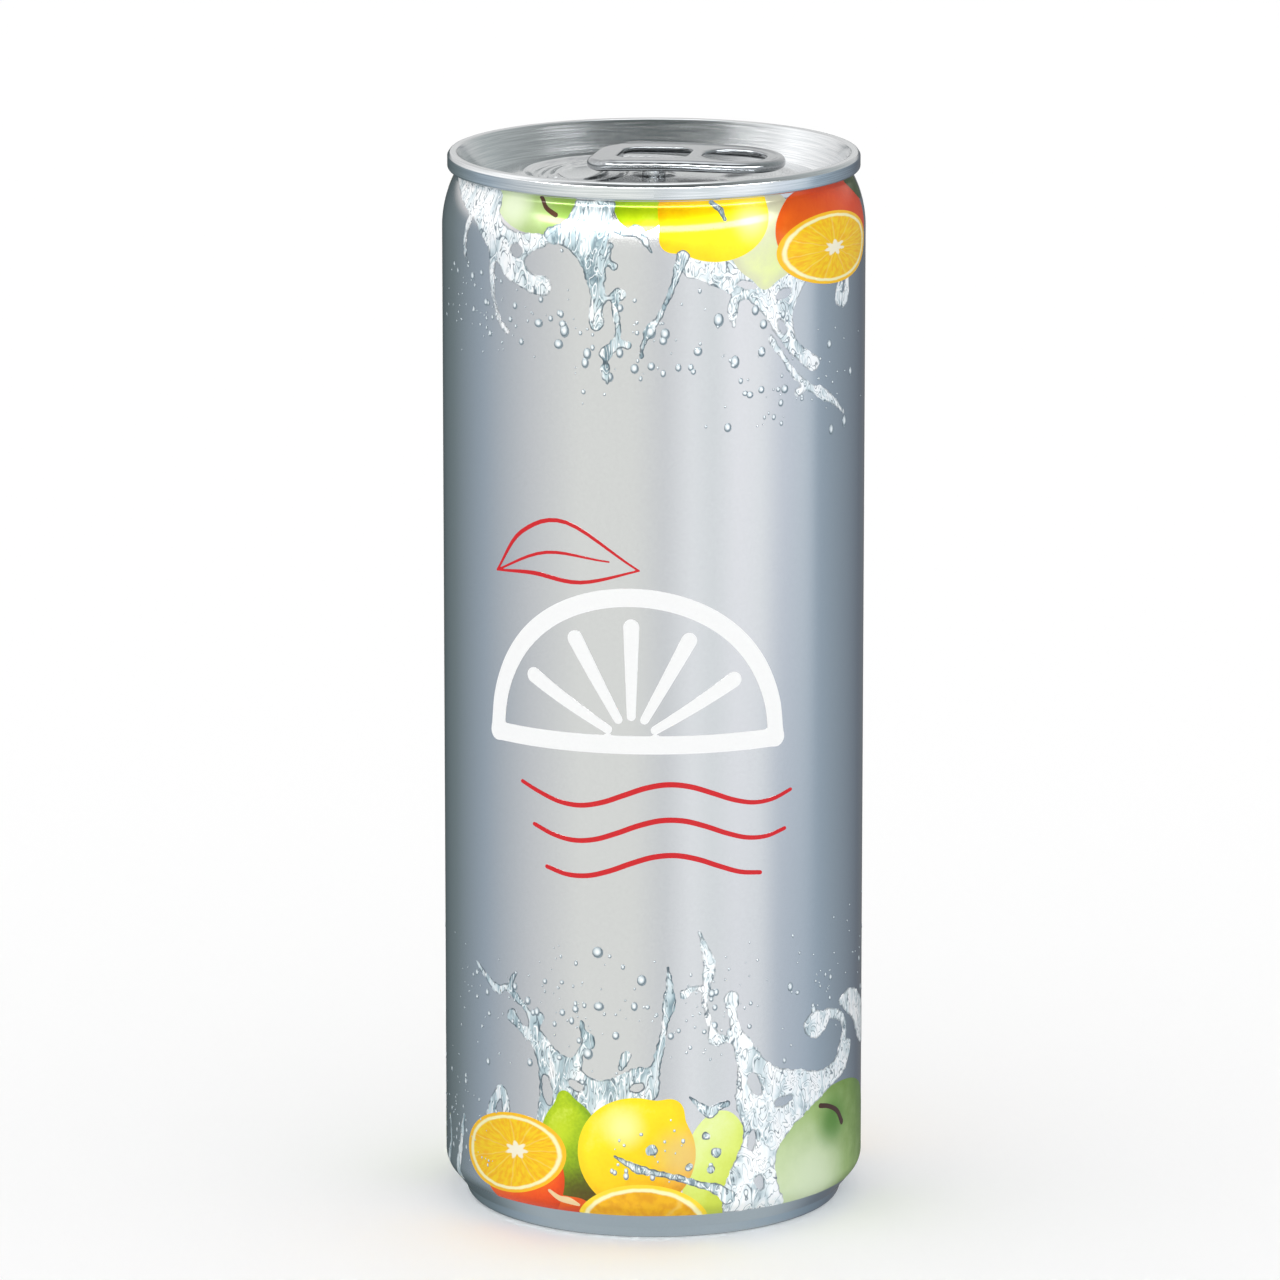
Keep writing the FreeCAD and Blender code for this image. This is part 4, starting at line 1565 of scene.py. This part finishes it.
# Palette of the high pale lime: its printed green, paled and greyed by a painted sheen that stands
# for the varnish's highlight band. The ink itself is not faded.
HIGH_LIME_WITH_PAINTED_SHEEN = (
    (0.0, "#B9B29C"), (0.3, "#CFCDAE"), (0.55, "#DCE0B4"), (0.8, "#EAF3A8"), (1.0, "#F2F8C8")
)
ORANGE = ((0.0, "#CC3400"), (0.3, "#F55200"), (0.6, "#FF7E00"), (0.85, "#FFB00C"), (1.0, "#FFD45A"))
RED_PEEL = (
    (0.0, "#B02C00"), (0.3, "#DC4400"), (0.6, "#EC6408"), (0.85, "#F58224"), (1.0, "#F8AE60")
)
GREEN = ((0.0, "#4A7018"), (0.3, "#779642"), (0.55, "#A6C078"), (0.8, "#CCDCA8"), (1.0, "#E4EED0"))


@dataclass
class PrintedArt:
    """The print: two groups of fruit in splashing water and a plain citrus-over-water mark."""

    body: CanBody

    def peel(self, name: str, stops: tuple, half: Point, **more: object) -> PeelInk:
        """A fruit's skin in gloss ink."""
        return PeelInk(f"printed_ink_of_{name}", stops=stops, half=half, **more)

    def fruit(
        self, name: str, stops: tuple, layer: Layer, oval: Oval, bounds: tuple, **more: object
    ) -> Film:
        """One whole fruit."""
        ink = self.peel(name, stops, oval.half, **more)
        return Film(name, ink, layer, (oval,), middle=oval.middle, bounds=bounds)

    def low_fruit(self) -> list[Film]:
        """The group that stands on the print's lower edge.

        Returns:
            The films.
        """
        low = (-40, 42, 3, 24)
        face = Oval((-19.9, 9.9), (8.75, 5.15), 10)
        slice_ = Oval((-1.4, 1.4), (8.9, 6.3))
        cut = CutFaceInk("printed_ink_of_cut_citrus", half=face.half, core=(0.14, 0.06))
        wet = CutFaceInk(
            "printed_ink_of_citrus_slice", half=slice_.half, core=(0, -0.55),
            segments=5, flesh="#F4B80C", flesh_deep="#E8A208", peel="#FFDC30",
        )
        return [
            self.fruit(
                "low_lime", LIME, Layer.FAR_FRUIT,
                Oval((-10.8, 10.6), (4.5, 7.6), 0, (-25, 18.4, 0.8)), low, lit_from=(-0.7, 0.85),
                pores=0.3, spots=((0.8, -6, 7, "#553F00"), (-1.4, 3.2, 2.6, "#CBE01E")),
            ),
            self.fruit(
                "low_pale_lime", LOW_LIME_WITH_PAINTED_SHEEN, Layer.FAR_FRUIT, Oval((7.9, 9.6), (4.3, 7.4), -8), low,
                rim_dark=0.15,
            ),
            Film(
                "low_gap", self.peel("shaded_peel", RED_PEEL, (3, 2)), Layer.GAP,
                (Patch(((-34, 2), (-18, 2), (-18, 5), (-24, 5.6), (-31, 5.2))),), middle=(-12, 3.6),
                bounds=low,
            ),
            # The dull pale spot on the lemon's right side (#EBCB78) is a painted reflection of the
            # varnish's highlight band.
            self.fruit(
                "low_lemon", YELLOW, Layer.FRUIT,
                Oval((-2.2, 11.6), (7.5, 7.3), 0, (4.8, 17.2, 1.5)), low, lit_from=(-0.5, 0.8),
                rim_dark=0.22, spots=((5.8, -0.2, 5, "#EBCB78"), (-1.6, 3.4, 3.6, "#FFFBA8")),
            ),
            self.fruit(
                "low_half_peel", ORANGE, Layer.FRUIT, Oval((-17.9, 7.4), (6.4, 6.4), 0), low,
                lit_from=(-0.5, 0.9),
            ),
            self.fruit(
                "low_green", GREEN, Layer.FRUIT, Oval((28.4, 8.3), (13.2, 8.9)), low,
                lit_from=(-0.75, -0.35), pores=0.04, rim_dark=0.12,
                spots=((-5.4, -2.4, 9, "#E4EECB"), (-1.4, 4.3, 4.8, "#47801A")),
            ),
            Film(
                "low_half_face", cut, Layer.NEAR_FRUIT, (face,), middle=face.middle, tilt=face.tilt,
                bounds=low,
            ),
            Film(
                "low_slice_face", wet, Layer.NEAR_FRUIT, (slice_,), middle=slice_.middle, bounds=low
            ),
            Film(
                "low_stem", Ink("printed_ink_of_stem", tone="#4A2C1C"), Layer.DETAIL,
                (
                    Stroke((
                        (52.3, 15.1, 0.32), (56.5, 14.6, 0.3), (61, 13.5, 0.34), (63.8, 11.8, 0.42)
                    )),
                ),
                bounds=low, step=0.16,
            ),
            Film(
                "low_pith", Ink("printed_ink_of_pith", tone="#EFD2A0"), Layer.DETAIL,
                (
                    Stroke((
                        (-29.5, 6, 0.2), (-26.5, 5.2, 0.35), (-23.5, 5, 0.45), (-20.8, 4.6, 0.2)
                    )),
                ),
                bounds=low, step=0.16,
            ),
        ]

    def high_fruit(self) -> list[Film]:
        """The group that hangs from the shoulder.

        Returns:
            The films.
        """
        high = (-40, 42, 116, 132.5)
        face = Oval((26.6, 124.2), (10.6, 4.45), -3)
        cut = CutFaceInk("printed_ink_of_high_citrus", half=face.half)
        return [
            # This lime's pale tones are painted sheen over its printed green.
            self.fruit(
                "high_pale_lime", HIGH_LIME_WITH_PAINTED_SHEEN, Layer.FAR_FRUIT,
                Oval((14.9, 126.9), (5.6, 5.6), 0, (31, 121.4, 0.9)), high, lit_from=(0.2, -0.8),
            ),
            self.fruit(
                "high_lime", LIME, Layer.FAR_FRUIT, Oval((-1.7, 132.6), (3.9, 4.5)), high,
                lit_from=(0.3, -0.9), rim_dark=0.1,
            ),
            # The pale spot on the lemon's right (#FBEF86) is a painted reflection of the varnish's
            # highlight band.
            self.fruit(
                "high_lemon", YELLOW, Layer.FRUIT, Oval((8, 130.4), (7.5, 6.1), 0, (4.4, 127, 1.3)),
                high, lit_from=(0.5, -0.4), rim_dark=0.15, spots=((5, -1.6, 3.6, "#FBEF86"),),
            ),
            self.fruit(
                "high_half_peel", RED_PEEL, Layer.FRUIT, Oval((26.9, 126.9), (10.9, 6), 0), high,
                lit_from=(-0.5, -0.7), rim_dark=0.2,
            ),
            self.fruit(
                "high_green", GREEN, Layer.FRUIT, Oval((-15.7, 133.6), (8.6, 6.5)), high,
                lit_from=(-0.8, -0.3), pores=0.04, rim_dark=0.1,
                spots=((4.2, -3, 4.4, "#88AD40"), (-4, -3.4, 4, "#E4EFD0")),
            ),
            Film(
                "high_half_face", cut, Layer.NEAR_FRUIT, (face,), middle=face.middle,
                tilt=face.tilt, bounds=high,
            ),
            Film(
                "high_leaf", Ink("printed_ink_of_leaf", tone="#46521E"), Layer.NEAR_FRUIT,
                (Patch(((68, 132.6), (73, 130.9), (81, 128.6), (86, 129.2), (84, 132.6))),),
                bounds=high,
            ),
            Film(
                "high_stem", Ink("printed_ink_of_stem", tone="#4A2C1C"), Layer.DETAIL,
                (Stroke(((-33.6, 131.6, 0.3), (-31.6, 130.4, 0.26), (-28, 129.6, 0.3))),),
                bounds=high, step=0.16,
            ),
        ]

    def water(self) -> list[Film]:
        """Sheets, strands and crowns of water round both groups.

        Returns:
            The films.
        """
        clear = WaterInk("printed_ink_of_clear_water")
        white = WaterInk(
            "printed_ink_of_white_water", whiteness=0.16, streak=(0.9, 1.8), deep="#A2B2BA",
            middle="#D2DEE2", light="#F2F7F9", outline=0.6,
        )
        low, high = (-42, 42, 3, 42), (-42, 42, 100, 132.5)
        shared = {"wobble": 0.1, "step": 0.19, "join": 0.6}
        return [
            Film(
                "low_sheet", clear, Layer.SPLASH_BEHIND,
                (
                    Patch((
                        (-36.8, 26.2), (-34.6, 26.9), (-31.9, 26.3), (-26.6, 24.1), (-22, 23.2),
                        (-18.6, 21.6), (-14.2, 20.9), (-9, 21.8), (-4, 22.9), (0.6, 22.4),
                        (1.6, 19.6), (-4, 17.6), (-18, 15), (-27, 15.6), (-31.8, 13), (-34.6, 12.4),
                        (-33.2, 16.1), (-32.6, 20), (-34, 23.4),
                    )),
                    Stroke((
                        (-57, 33.4, 0.22), (-52, 31.8, 0.42), (-47.4, 30.7, 0.62),
                        (-43.5, 31.3, 0.4), (-40.5, 30.3, 0.55), (-37, 28.9, 0.34),
                        (-34.6, 27.2, 0.7),
                    )),
                    Stroke(((-43.5, 31, 0.3), (-41.2, 33, 0.34))),
                    Stroke(((-42, 27.7, 0.95), (-39.6, 26.8, 0.55), (-36.4, 25.6, 0.7))),
                    Stroke(((-32.8, 28.2, 0.85), (-33.8, 26.8, 0.5))),
                    Stroke((
                        (-19.9, 28.4, 0.2), (-19.2, 27, 0.5), (-17.8, 25.8, 0.85),
                        (-20, 24.6, 0.45), (-21.2, 22.8, 0.7),
                    )),
                    Stroke(((-7.4, 24.2, 0.65), (-8.8, 22.6, 0.4))),
                    Stroke((
                        (3.9, 35.6, 0.14), (4.4, 33, 0.5), (4.2, 30.8, 0.85), (3.2, 28.6, 0.4),
                        (2.4, 26.8, 0.42), (1.4, 24.4, 0.55), (0.2, 22.2, 0.6),
                    )),
                ),
                holes=(
                    Oval((arc(-30.2), 19), (0.7, 1.9), 12), Oval((arc(-21.4), 20), (1.1, 0.6), -20),
                    Oval((arc(-4.5), 20.2), (0.9, 0.5), 15),
                ),
                bounds=low, **shared,
            ),
            Film(
                "low_loop", clear, Layer.SPLASH_BEHIND,
                (
                    Stroke((
                        (-53, 12, 0.6), (-49.6, 15.6, 0.7), (-46.2, 17.7, 0.75), (-44.4, 15.6, 0.7),
                        (-44.8, 13.6, 0.6),
                    )),
                    Stroke(((-80, 4.6, 0.8), (-76, 8, 0.5), (-77.5, 11, 0.3))),
                    Stroke(((-70, 4, 0.9), (-67, 8.4, 0.6), (-65, 12.4, 0.35))),
                ),
                bounds=low, **shared,
            ),
            Film(
                "low_crown", white, Layer.SPLASH,
                (
                    Patch((
                        (21.6, 26.6), (25.3, 26.7), (30.6, 23.4), (36.1, 21.5), (44, 20.6),
                        (52.3, 19.7), (59, 20.3), (64.6, 22.2), (70, 21.6), (66, 18.6), (56, 16.9),
                        (47, 15), (39, 12.6), (35.2, 9.6), (36.4, 6), (38.8, 2.6), (21.6, 2.6),
                        (19.2, 6.4), (22.8, 10.4), (25.2, 13.7), (22.6, 17.8), (23.2, 21.8),
                    )),
                    Stroke(((21.5, 31.2, 1.05), (21.9, 29.2, 0.55), (22.8, 26.4, 0.9))),
                    Stroke((
                        (12.4, 40, 0.14), (14, 37.8, 0.5), (15.2, 35.6, 0.8), (14, 32.4, 0.5),
                        (14, 30.6, 0.35), (15.6, 27.8, 0.4), (17, 26.2, 0.85), (20.6, 26.2, 0.4),
                    )),
                    Stroke(((8.2, 32.2, 0.6), (10.6, 32.9, 0.35), (13.6, 32.6, 0.35))),
                    Stroke((
                        (63.4, 21.6, 0.7), (65.6, 23.8, 0.55), (63, 25.6, 0.6), (57, 26.6, 0.75),
                        (53, 26.2, 1),
                    )),
                    Oval((arc(50.4), 25.9), (2.3, 1.75)),
                    Patch((
                        (62, 27.8), (70, 28.6), (80, 26.6), (88, 24), (88, 19.5), (78, 21),
                        (72, 24.2), (66, 26),
                    )),
                ),
                holes=(
                    Oval((arc(28.5), 19.8), (0.8, 1.6), 25), Oval((arc(38), 17), (1.5, 0.6), 8),
                    Oval((arc(27.6), 12.6), (0.55, 1.3), -10), Oval((arc(30), 7), (0.7, 1), 20),
                ),
                bounds=low, **shared,
            ),
            Film(
                "low_stream", clear, Layer.DETAIL,
                (
                    Stroke((
                        (-10.4, 11.2, 0.18), (-7, 10.3, 0.4), (-3.2, 9.6, 0.62), (1, 9.2, 0.36),
                        (6.8, 8.5, 0.42), (12.4, 7.6, 0.4), (17, 6.9, 0.62), (20.6, 5.6, 0.95),
                    )),
                    Stroke((
                        (9.8, 18.9, 0.16), (12.6, 17.8, 0.4), (15.4, 16.8, 0.8), (17.2, 17.4, 0.5),
                        (20.4, 17.8, 0.4),
                    )),
                    Stroke(((14.4, 13.8, 0.55),)), Stroke(((17.2, 11.6, 0.65),)),
                    Stroke(((15.8, 9.4, 0.5),)), Stroke(((9.6, 9.9, 0.5),)),
                    Stroke(((-0.6, 12.2, 0.75),)),
                ),
                bounds=low, **shared,
            ),
            Film(
                "high_spray", white, Layer.SPLASH,
                (
                    Patch((
                        (-80, 132.4), (-52, 132.4), (-46.8, 128.6), (-41, 127.2), (-33, 127.3),
                        (-28.6, 127.2), (-30.4, 125.8), (-35, 124.8), (-36.6, 123.4),
                        (-34.2, 122.2), (-30, 122), (-28.4, 120.8), (-30.4, 119.6), (-36, 120),
                        (-42, 121.1), (-46.5, 122.9), (-51, 124.9), (-58, 127.6), (-68, 129.4),
                    )),
                    Stroke(((-60, 128, 0.5), (-62, 124, 0.3), (-60, 121.6, 0.15))),
                    Stroke((
                        (-48.6, 124, 0.6), (-48.6, 119.6, 0.34), (-46, 116, 0.3), (-43, 114.6, 0.45)
                    )),
                ),
                holes=(Oval((arc(-39.6), 124.9), (0.95, 0.85)),), bounds=high, **shared,
            ),
            Film(
                "high_sheet", clear, Layer.DETAIL,
                (
                    Patch((
                        (-31, 127.6), (-24.5, 129.4), (-21, 132.4), (-11.6, 132.4), (-12.2, 126),
                        (-13.2, 121), (-14, 118), (-15.4, 116.4), (-16.9, 118), (-17.2, 120.6),
                        (-20, 124), (-24, 125.9), (-28.6, 126.3),
                    )),
                    Stroke(((-15.5, 116.8, 0.98), (-15.4, 118.6, 0.6))),
                    Stroke(((-14, 119.8, 0.5), (-11.4, 120, 0.35), (-9.2, 120.4, 0.8))),
                    Stroke((
                        (-10.8, 120, 0.4), (-10, 117.8, 0.42), (-9.5, 116, 0.36),
                        (-9.9, 114.5, 0.5), (-12.8, 113, 0.85),
                    )),
                    Stroke(((-9.9, 114.4, 0.4), (-7, 114.2, 0.5))),
                    Stroke(((-13.1, 111.2, 0.6), (-12.4, 109.4, 0.2))),
                    Stroke(((-11.6, 126.4, 0.4), (-12.2, 124.6, 0.3), (-10.6, 123.8, 0.5))),
                ),
                bounds=high, **shared,
            ),
            Film(
                "high_crown", white, Layer.SPLASH_BEHIND,
                (
                    Patch((
                        (5.8, 125.6), (14, 126), (30, 124), (46.6, 122.8), (42.6, 119.4),
                        (40.2, 117), (41.4, 113.9), (46, 111.7), (49.8, 110.8), (49, 109.4),
                        (45.2, 110), (39.6, 112), (34.4, 114.8), (30.6, 117.2), (26.6, 119),
                        (21.5, 120), (16.5, 121.2), (12, 122.2), (8.4, 122.6),
                    )),
                    Stroke(((48.2, 110.4, 0.95), (44, 111.6, 0.7))),
                    Stroke(((22.6, 120.4, 0.7), (21.4, 118.2, 0.75), (21.8, 116.2, 0.25))),
                    Stroke((
                        (33, 114.2, 0.5), (37, 111.6, 0.42), (41, 109.4, 0.5), (45.6, 107.6, 0.45),
                        (52, 106.3, 0.8), (57, 105, 0.5), (63, 103, 0.2),
                    )),
                    Stroke(((42, 107, 0.6), (45, 107.8, 0.4))),
                    Stroke((
                        (60.6, 120.4, 0.5), (60, 117.8, 0.95), (63.4, 117.6, 0.9), (65, 120.4, 0.5)
                    )),
                ),
                holes=(
                    Oval((arc(37), 119.6), (1.2, 0.6), 15),
                    Oval((arc(25.6), 121.2), (1.4, 0.45), -12),
                    Oval((arc(36.6), 115.6), (0.5, 1), 30),
                ),
                bounds=high, **shared,
            ),
            Film(
                "high_spikes", clear, Layer.SPLASH,
                (
                    Stroke((
                        (7.6, 125.2, 0.8), (5.8, 122.4, 0.5), (3.4, 119.6, 0.3), (1, 117.4, 0.36),
                        (-1.4, 115.8, 0.6), (-2.7, 114.4, 0.28), (-3.4, 112.8, 0.32),
                    )),
                    Stroke((
                        (-10.8, 128.3, 0.25), (-7.6, 128, 0.45), (-4.6, 128.3, 0.75),
                        (-2.4, 127.1, 0.4), (-0.6, 125.6, 0.14),
                    )),
                    Stroke(((16.4, 131.4, 0.3), (18.6, 130.6, 0.35), (19.8, 129.4, 0.3))),
                ),
                bounds=high, **shared,
            ),
        ]

    def mark(self) -> list[Film]:
        """A half slice of citrus over three waves, with a leaf: plain shapes in white and red.

        Returns:
            The films.
        """
        # Opaque white under varnish: flat, clean at its edges and a little satin.
        white = Ink("printed_white_ink", metallic=0, roughness=0.32, tone="#F7F8F8")
        # Opaque red, thinner than the white, so that a little of the silver glints through.
        red = Ink("printed_red_ink", metallic=0.05, roughness=0.32, tone="#D2141E")
        middle, foot = -6, 64.0
        dome = tuple((middle + 41 * math.cos(t), foot + 18.6 * math.sin(t), 1.15)
                     for t in np.linspace(0, math.pi, 13))
        spokes = tuple(
            Stroke(((middle + 7.5 * math.cos(t), foot + 3.6 * math.sin(t), 0.55),
                    (middle + 33 * math.cos(t), foot + 14.9 * math.sin(t), 1)))
            for t in np.radians((32, 62, 90, 118, 148))
        )
        base = Stroke(((middle - 41, foot, 1.15), (middle, foot, 1.15), (middle + 41, foot, 1.15)))
        waves = tuple(
            Stroke(tuple(
                (a, z + 1.5 * math.sin(math.radians(a * 7 + 60)),
                 0.2 + 0.14 * math.cos(math.radians(a * 2)))
                for a in range(-38 + shift, 44 - shift, 6)
            ))
            for z, shift in ((57.5, 0), (53, 4), (48.5, 8))
        )
        leaf = (
            Stroke(((-47, 84.4, 0.12), (-38, 89.8, 0.26), (-24, 91.6, 0.24), (-4, 86, 0.12))),
            Stroke(((-47, 84.4, 0.12), (-34, 84.8, 0.26), (-20, 84.2, 0.24), (-4, 86, 0.12))),
            Stroke(((-47, 84.4, 0.12), (-30, 87.6, 0.2), (-12, 87, 0.1))),
        )
        box = (-32, 30, 42, 96)
        return [
            Film(
                "mark_slice", white, Layer.SPLASH, (Stroke(dome), base, *spokes), bounds=box,
                step=0.3, join=0.3,
            ),
            Film("mark_waves", red, Layer.SPLASH, waves, bounds=box, step=0.14, join=0.1),
            Film("mark_leaf", red, Layer.SPLASH, leaf, bounds=box, step=0.14, join=0.1),
        ]

    def sprays(self) -> list[Spray]:
        """Drops thrown off both groups.

        Returns:
            The sprays.
        """
        return [
            Spray((-38, 29), (16, 9), 60, 0.1, 0.5, 11),
            Spray((-6, 29), (17, 11), 70, 0.1, 0.72, 12),
            Spray((14, 30), (8, 10), 34, 0.12, 0.6, 13),
            Spray((50, 31), (22, 10), 60, 0.1, 0.5, 14),
            Spray((-70, 13), (14, 10), 60, 0.1, 0.42, 15),
            Spray((-50, 118), (14, 8), 80, 0.1, 0.45, 16),
            Spray((0, 115), (20, 9), 80, 0.1, 0.66, 17),
            Spray((45, 109), (16, 9), 60, 0.1, 0.55, 18),
            Spray((2, 12), (12, 6), 22, 0.12, 0.45, 19),
        ]

    def build(self) -> None:
        """Prints everything on both sides."""
        press = Press(self.body)
        for film in [*self.low_fruit(), *self.high_fruit(), *self.water(), *self.mark()]:
            press.lay(film)
        drops = DropScatter()
        drops.scatter("drops_shown", self.sprays(), 0.0)
        drops.scatter("drops_far", self.sprays(), math.pi)


# ---- the studio ----------------------------------------------------------------------------


@dataclass
class Studio:
    """A pale floor, soft light from banks round the can, and the camera."""

    distance: float = 1103.97
    elevation: float = 12.75
    lens: float = 246.0
    aim: Triple = (-1.73, 0.0, 71.45)
    soft: float = 1.05
    banks: tuple[tuple[float, Triple], ...] = (
        (-180, (0.08, 0.09, 0.09)), (-164, (0.10, 0.13, 0.14)), (-140, (0.22, 0.28, 0.30)),
        (-106, (0.51, 0.62, 0.72)),
        (-69.5, (0.97, 1.02, 1.05)), (-41, (1.24, 1.28, 1.24)), (-11, (1.24, 1.28, 1.24)),
        (5.7, (1.08, 1.13, 1.16)), (20.7, (1.35, 1.41, 1.45)), (32.5, (1.20, 1.28, 1.31)),
        (45.9, (1.48, 1.52, 1.58)), (60, (1.42, 1.48, 1.52)), (76.6, (1.07, 1.16, 1.28)),
        (88.9, (0.97, 1.09, 1.19)), (94.8, (0.84, 0.97, 1.09)), (101.6, (0.50, 0.63, 0.75)),
        (116, (0.41, 0.51, 0.60)), (152, (0.17, 0.20, 0.24)), (180, (0.15, 0.15, 0.15)),
    )
    foot_banks: tuple[tuple[float, Triple], ...] = (
        (5.7, (1.05, 1.11, 1.14)), (20.7, (1.35, 1.41, 1.45)), (32.5, (1.20, 1.28, 1.31)),
        (45.9, (1.22, 1.28, 1.34)), (60, (1.12, 1.20, 1.26)), (72, (0.70, 0.82, 0.94)),
        (88.9, (0.60, 0.73, 0.86)),
    )
    upper_banks: tuple[tuple[float, Triple], ...] = (
        (-180, (0.85, 0.86, 0.86)), (-150, (0.95, 0.95, 0.95)), (-98, (1.7, 1.7, 1.7)),
        (-70, (0.95, 0.96, 0.96)),
        (-45, (0.28, 0.30, 0.30)), (0, (0.14, 0.16, 0.16)), (35, (0.18, 0.20, 0.20)),
        (71, (0.40, 0.43, 0.43)),
        (126, (0.65, 0.70, 0.70)), (160, (0.85, 0.85, 0.85)), (180, (0.85, 0.86, 0.86)),
    )

    strip: tuple[float, ...] = (18.5, 22, 25, 27)   # starts, is full, fades and ends, in degrees up
    strip_light: float = 20.0
    overhead: Triple = (2.2, 2.22, 2.22)
    below: Triple = (0.74, 0.80, 0.83)

    def light(self) -> None:
        """Surroundings: white to the eye, even for matt surfaces, banked softboxes for metal."""
        world = bpy.data.worlds.new("soft_studio")
        world.use_nodes = True
        bpy.context.scene.world = world
        tree = world.node_tree
        tree.nodes.clear()
        way = add(tree, "TexCoord").outputs["Generated"]
        x, y, z = add(tree, "SeparateXYZ", way).outputs
        azimuth = add(tree, "Math:ARCTAN2", x, add(tree, "Math:MULTIPLY", y, -1.0))
        azimuth = add(tree, "Math:MULTIPLY_ADD", azimuth, 1 / (2 * math.pi), 0.5)
        rise = add(tree, "Math:ARCSINE", z)

        def ring(banks: Sequence[tuple[float, Triple]]) -> Node:
            """The banks' light by azimuth."""
            stops = [(turn / 360 + 0.5, tone) for turn, tone in banks]
            return add(tree, "ValToRGB", azimuth, stops=stops)

        def level(value: Node, brightness: Triple, amount: Node) -> Node:
            """The light, turned towards one even brightness by amount."""
            return add(tree, "Mix:RGBA", amount, value, add(tree, "CombineXYZ", *brightness))

        aside = add(tree, "Math:ABSOLUTE", add(tree, "Math:SUBTRACT", azimuth, 0.5))
        front = add(tree, "Math:SUBTRACT", 1.0, add(tree, "MapRange:SMOOTHSTEP", aside, 0.16, 0.22))
        start = add(tree, "Math:MULTIPLY_ADD", front, math.radians(27), math.radians(4))
        upper = add(
            tree, "MapRange:SMOOTHSTEP", add(tree, "Math:SUBTRACT", rise, start), math.radians(-4),
            math.radians(4),
        )
        foot = add(tree, "MapRange:SMOOTHSTEP", rise, math.radians(-10.5), math.radians(-15.5))
        glossy = add(
            tree, "Mix:RGBA", foot, ring(self.banks),
            ring(self.banks[:7] + self.foot_banks + self.banks[15:]),
        )
        glossy = add(tree, "Mix:RGBA", upper, glossy, ring(self.upper_banks))
        glossy = level(
            glossy, self.overhead,
            add(tree, "MapRange:SMOOTHSTEP", rise, math.radians(62), math.radians(74)),
        )
        glossy = level(
            glossy, self.below,
            add(tree, "MapRange:SMOOTHSTEP", rise, math.radians(-35), math.radians(-60)),
        )
        strip_rise = [math.radians(degrees) for degrees in self.strip]
        low = add(tree, "MapRange:SMOOTHSTEP", rise, strip_rise[0], strip_rise[1])
        high = add(tree, "MapRange:SMOOTHSTEP", rise, strip_rise[2], strip_rise[3])
        strip = add(
            tree, "Math:MULTIPLY", add(tree, "Math:SUBTRACT", low, high),
            add(tree, "Math:MULTIPLY", front, self.strip_light),
        )
        strip = add(tree, "CombineXYZ", strip, strip, strip)
        strip = add(tree, "Mix:RGBA", 1.0, glossy, strip, blend_type="ADD")
        path = add(tree, "LightPath").outputs
        plain = add(tree, "Background", (1, 1, 1, 1), self.soft)
        banked = add(tree, "Background", strip, 1.0)
        seen = add(tree, "Background", (1, 1, 1, 1), 1.0)
        mixed = add(tree, "MixShader", path["Is Glossy Ray"], plain, banked)
        mixed = add(tree, "MixShader", path["Is Camera Ray"], mixed, seen)
        add(tree, "OutputWorld", Surface=mixed)

    def floor(self) -> None:
        """A pale matt floor."""
        mesh = bpy.data.meshes.new("floor")
        reach = 6.0
        mesh.from_pydata(
            [(-reach, -reach, 0), (reach, -reach, 0), (reach, reach, 0), (-reach, reach, 0)], [],
            [(0, 1, 2, 3)],
        )
        floor = bpy.data.objects.new("floor", mesh)
        bpy.context.scene.collection.objects.link(floor)
        # Uncoated paper: white all over, with no sheen.
        paper = bpy.data.materials.new("white_paper")
        paper.use_nodes = True
        tree = paper.node_tree
        tree.nodes.clear()
        matt = add(tree, "BsdfDiffuse", Color=linear("#FAFAFA"))
        add(tree, "OutputMaterial", Surface=matt.outputs[0])
        mesh.materials.append(paper)
        floor.visible_glossy = False

    def camera(self) -> None:
        """The camera, level with the upper half of the can and looking a little down."""
        lens = bpy.data.cameras.new("camera")
        lens.lens = self.lens
        lens.sensor_width = 36
        lens.clip_end = 30
        camera = bpy.data.objects.new("camera", lens)
        rise = math.radians(self.elevation)
        spot = Vector((0, 0, TOTAL_HEIGHT / 2)) + Vector((
            0, -math.cos(rise), math.sin(rise)
        )) * self.distance
        camera.location = spot * MM
        camera.rotation_euler = (Vector(self.aim) - spot).to_track_quat("-Z", "Y").to_euler()
        bpy.context.scene.collection.objects.link(camera)
        bpy.context.scene.camera = camera
        bpy.context.scene.view_settings.view_transform = "Standard"

    def build(self) -> None:
        """Sets the whole studio up."""
        self.light()
        self.floor()
        self.camera()


def main() -> None:
    """Builds the can and its studio."""
    logging.basicConfig(level=logging.INFO, format="%(message)s")
    body = CanBody()
    body.build()
    CanEnd().build()
    PullTab().build()
    PrintedArt(body).build()
    Studio().build()


if __name__ == "__main__":
    main()
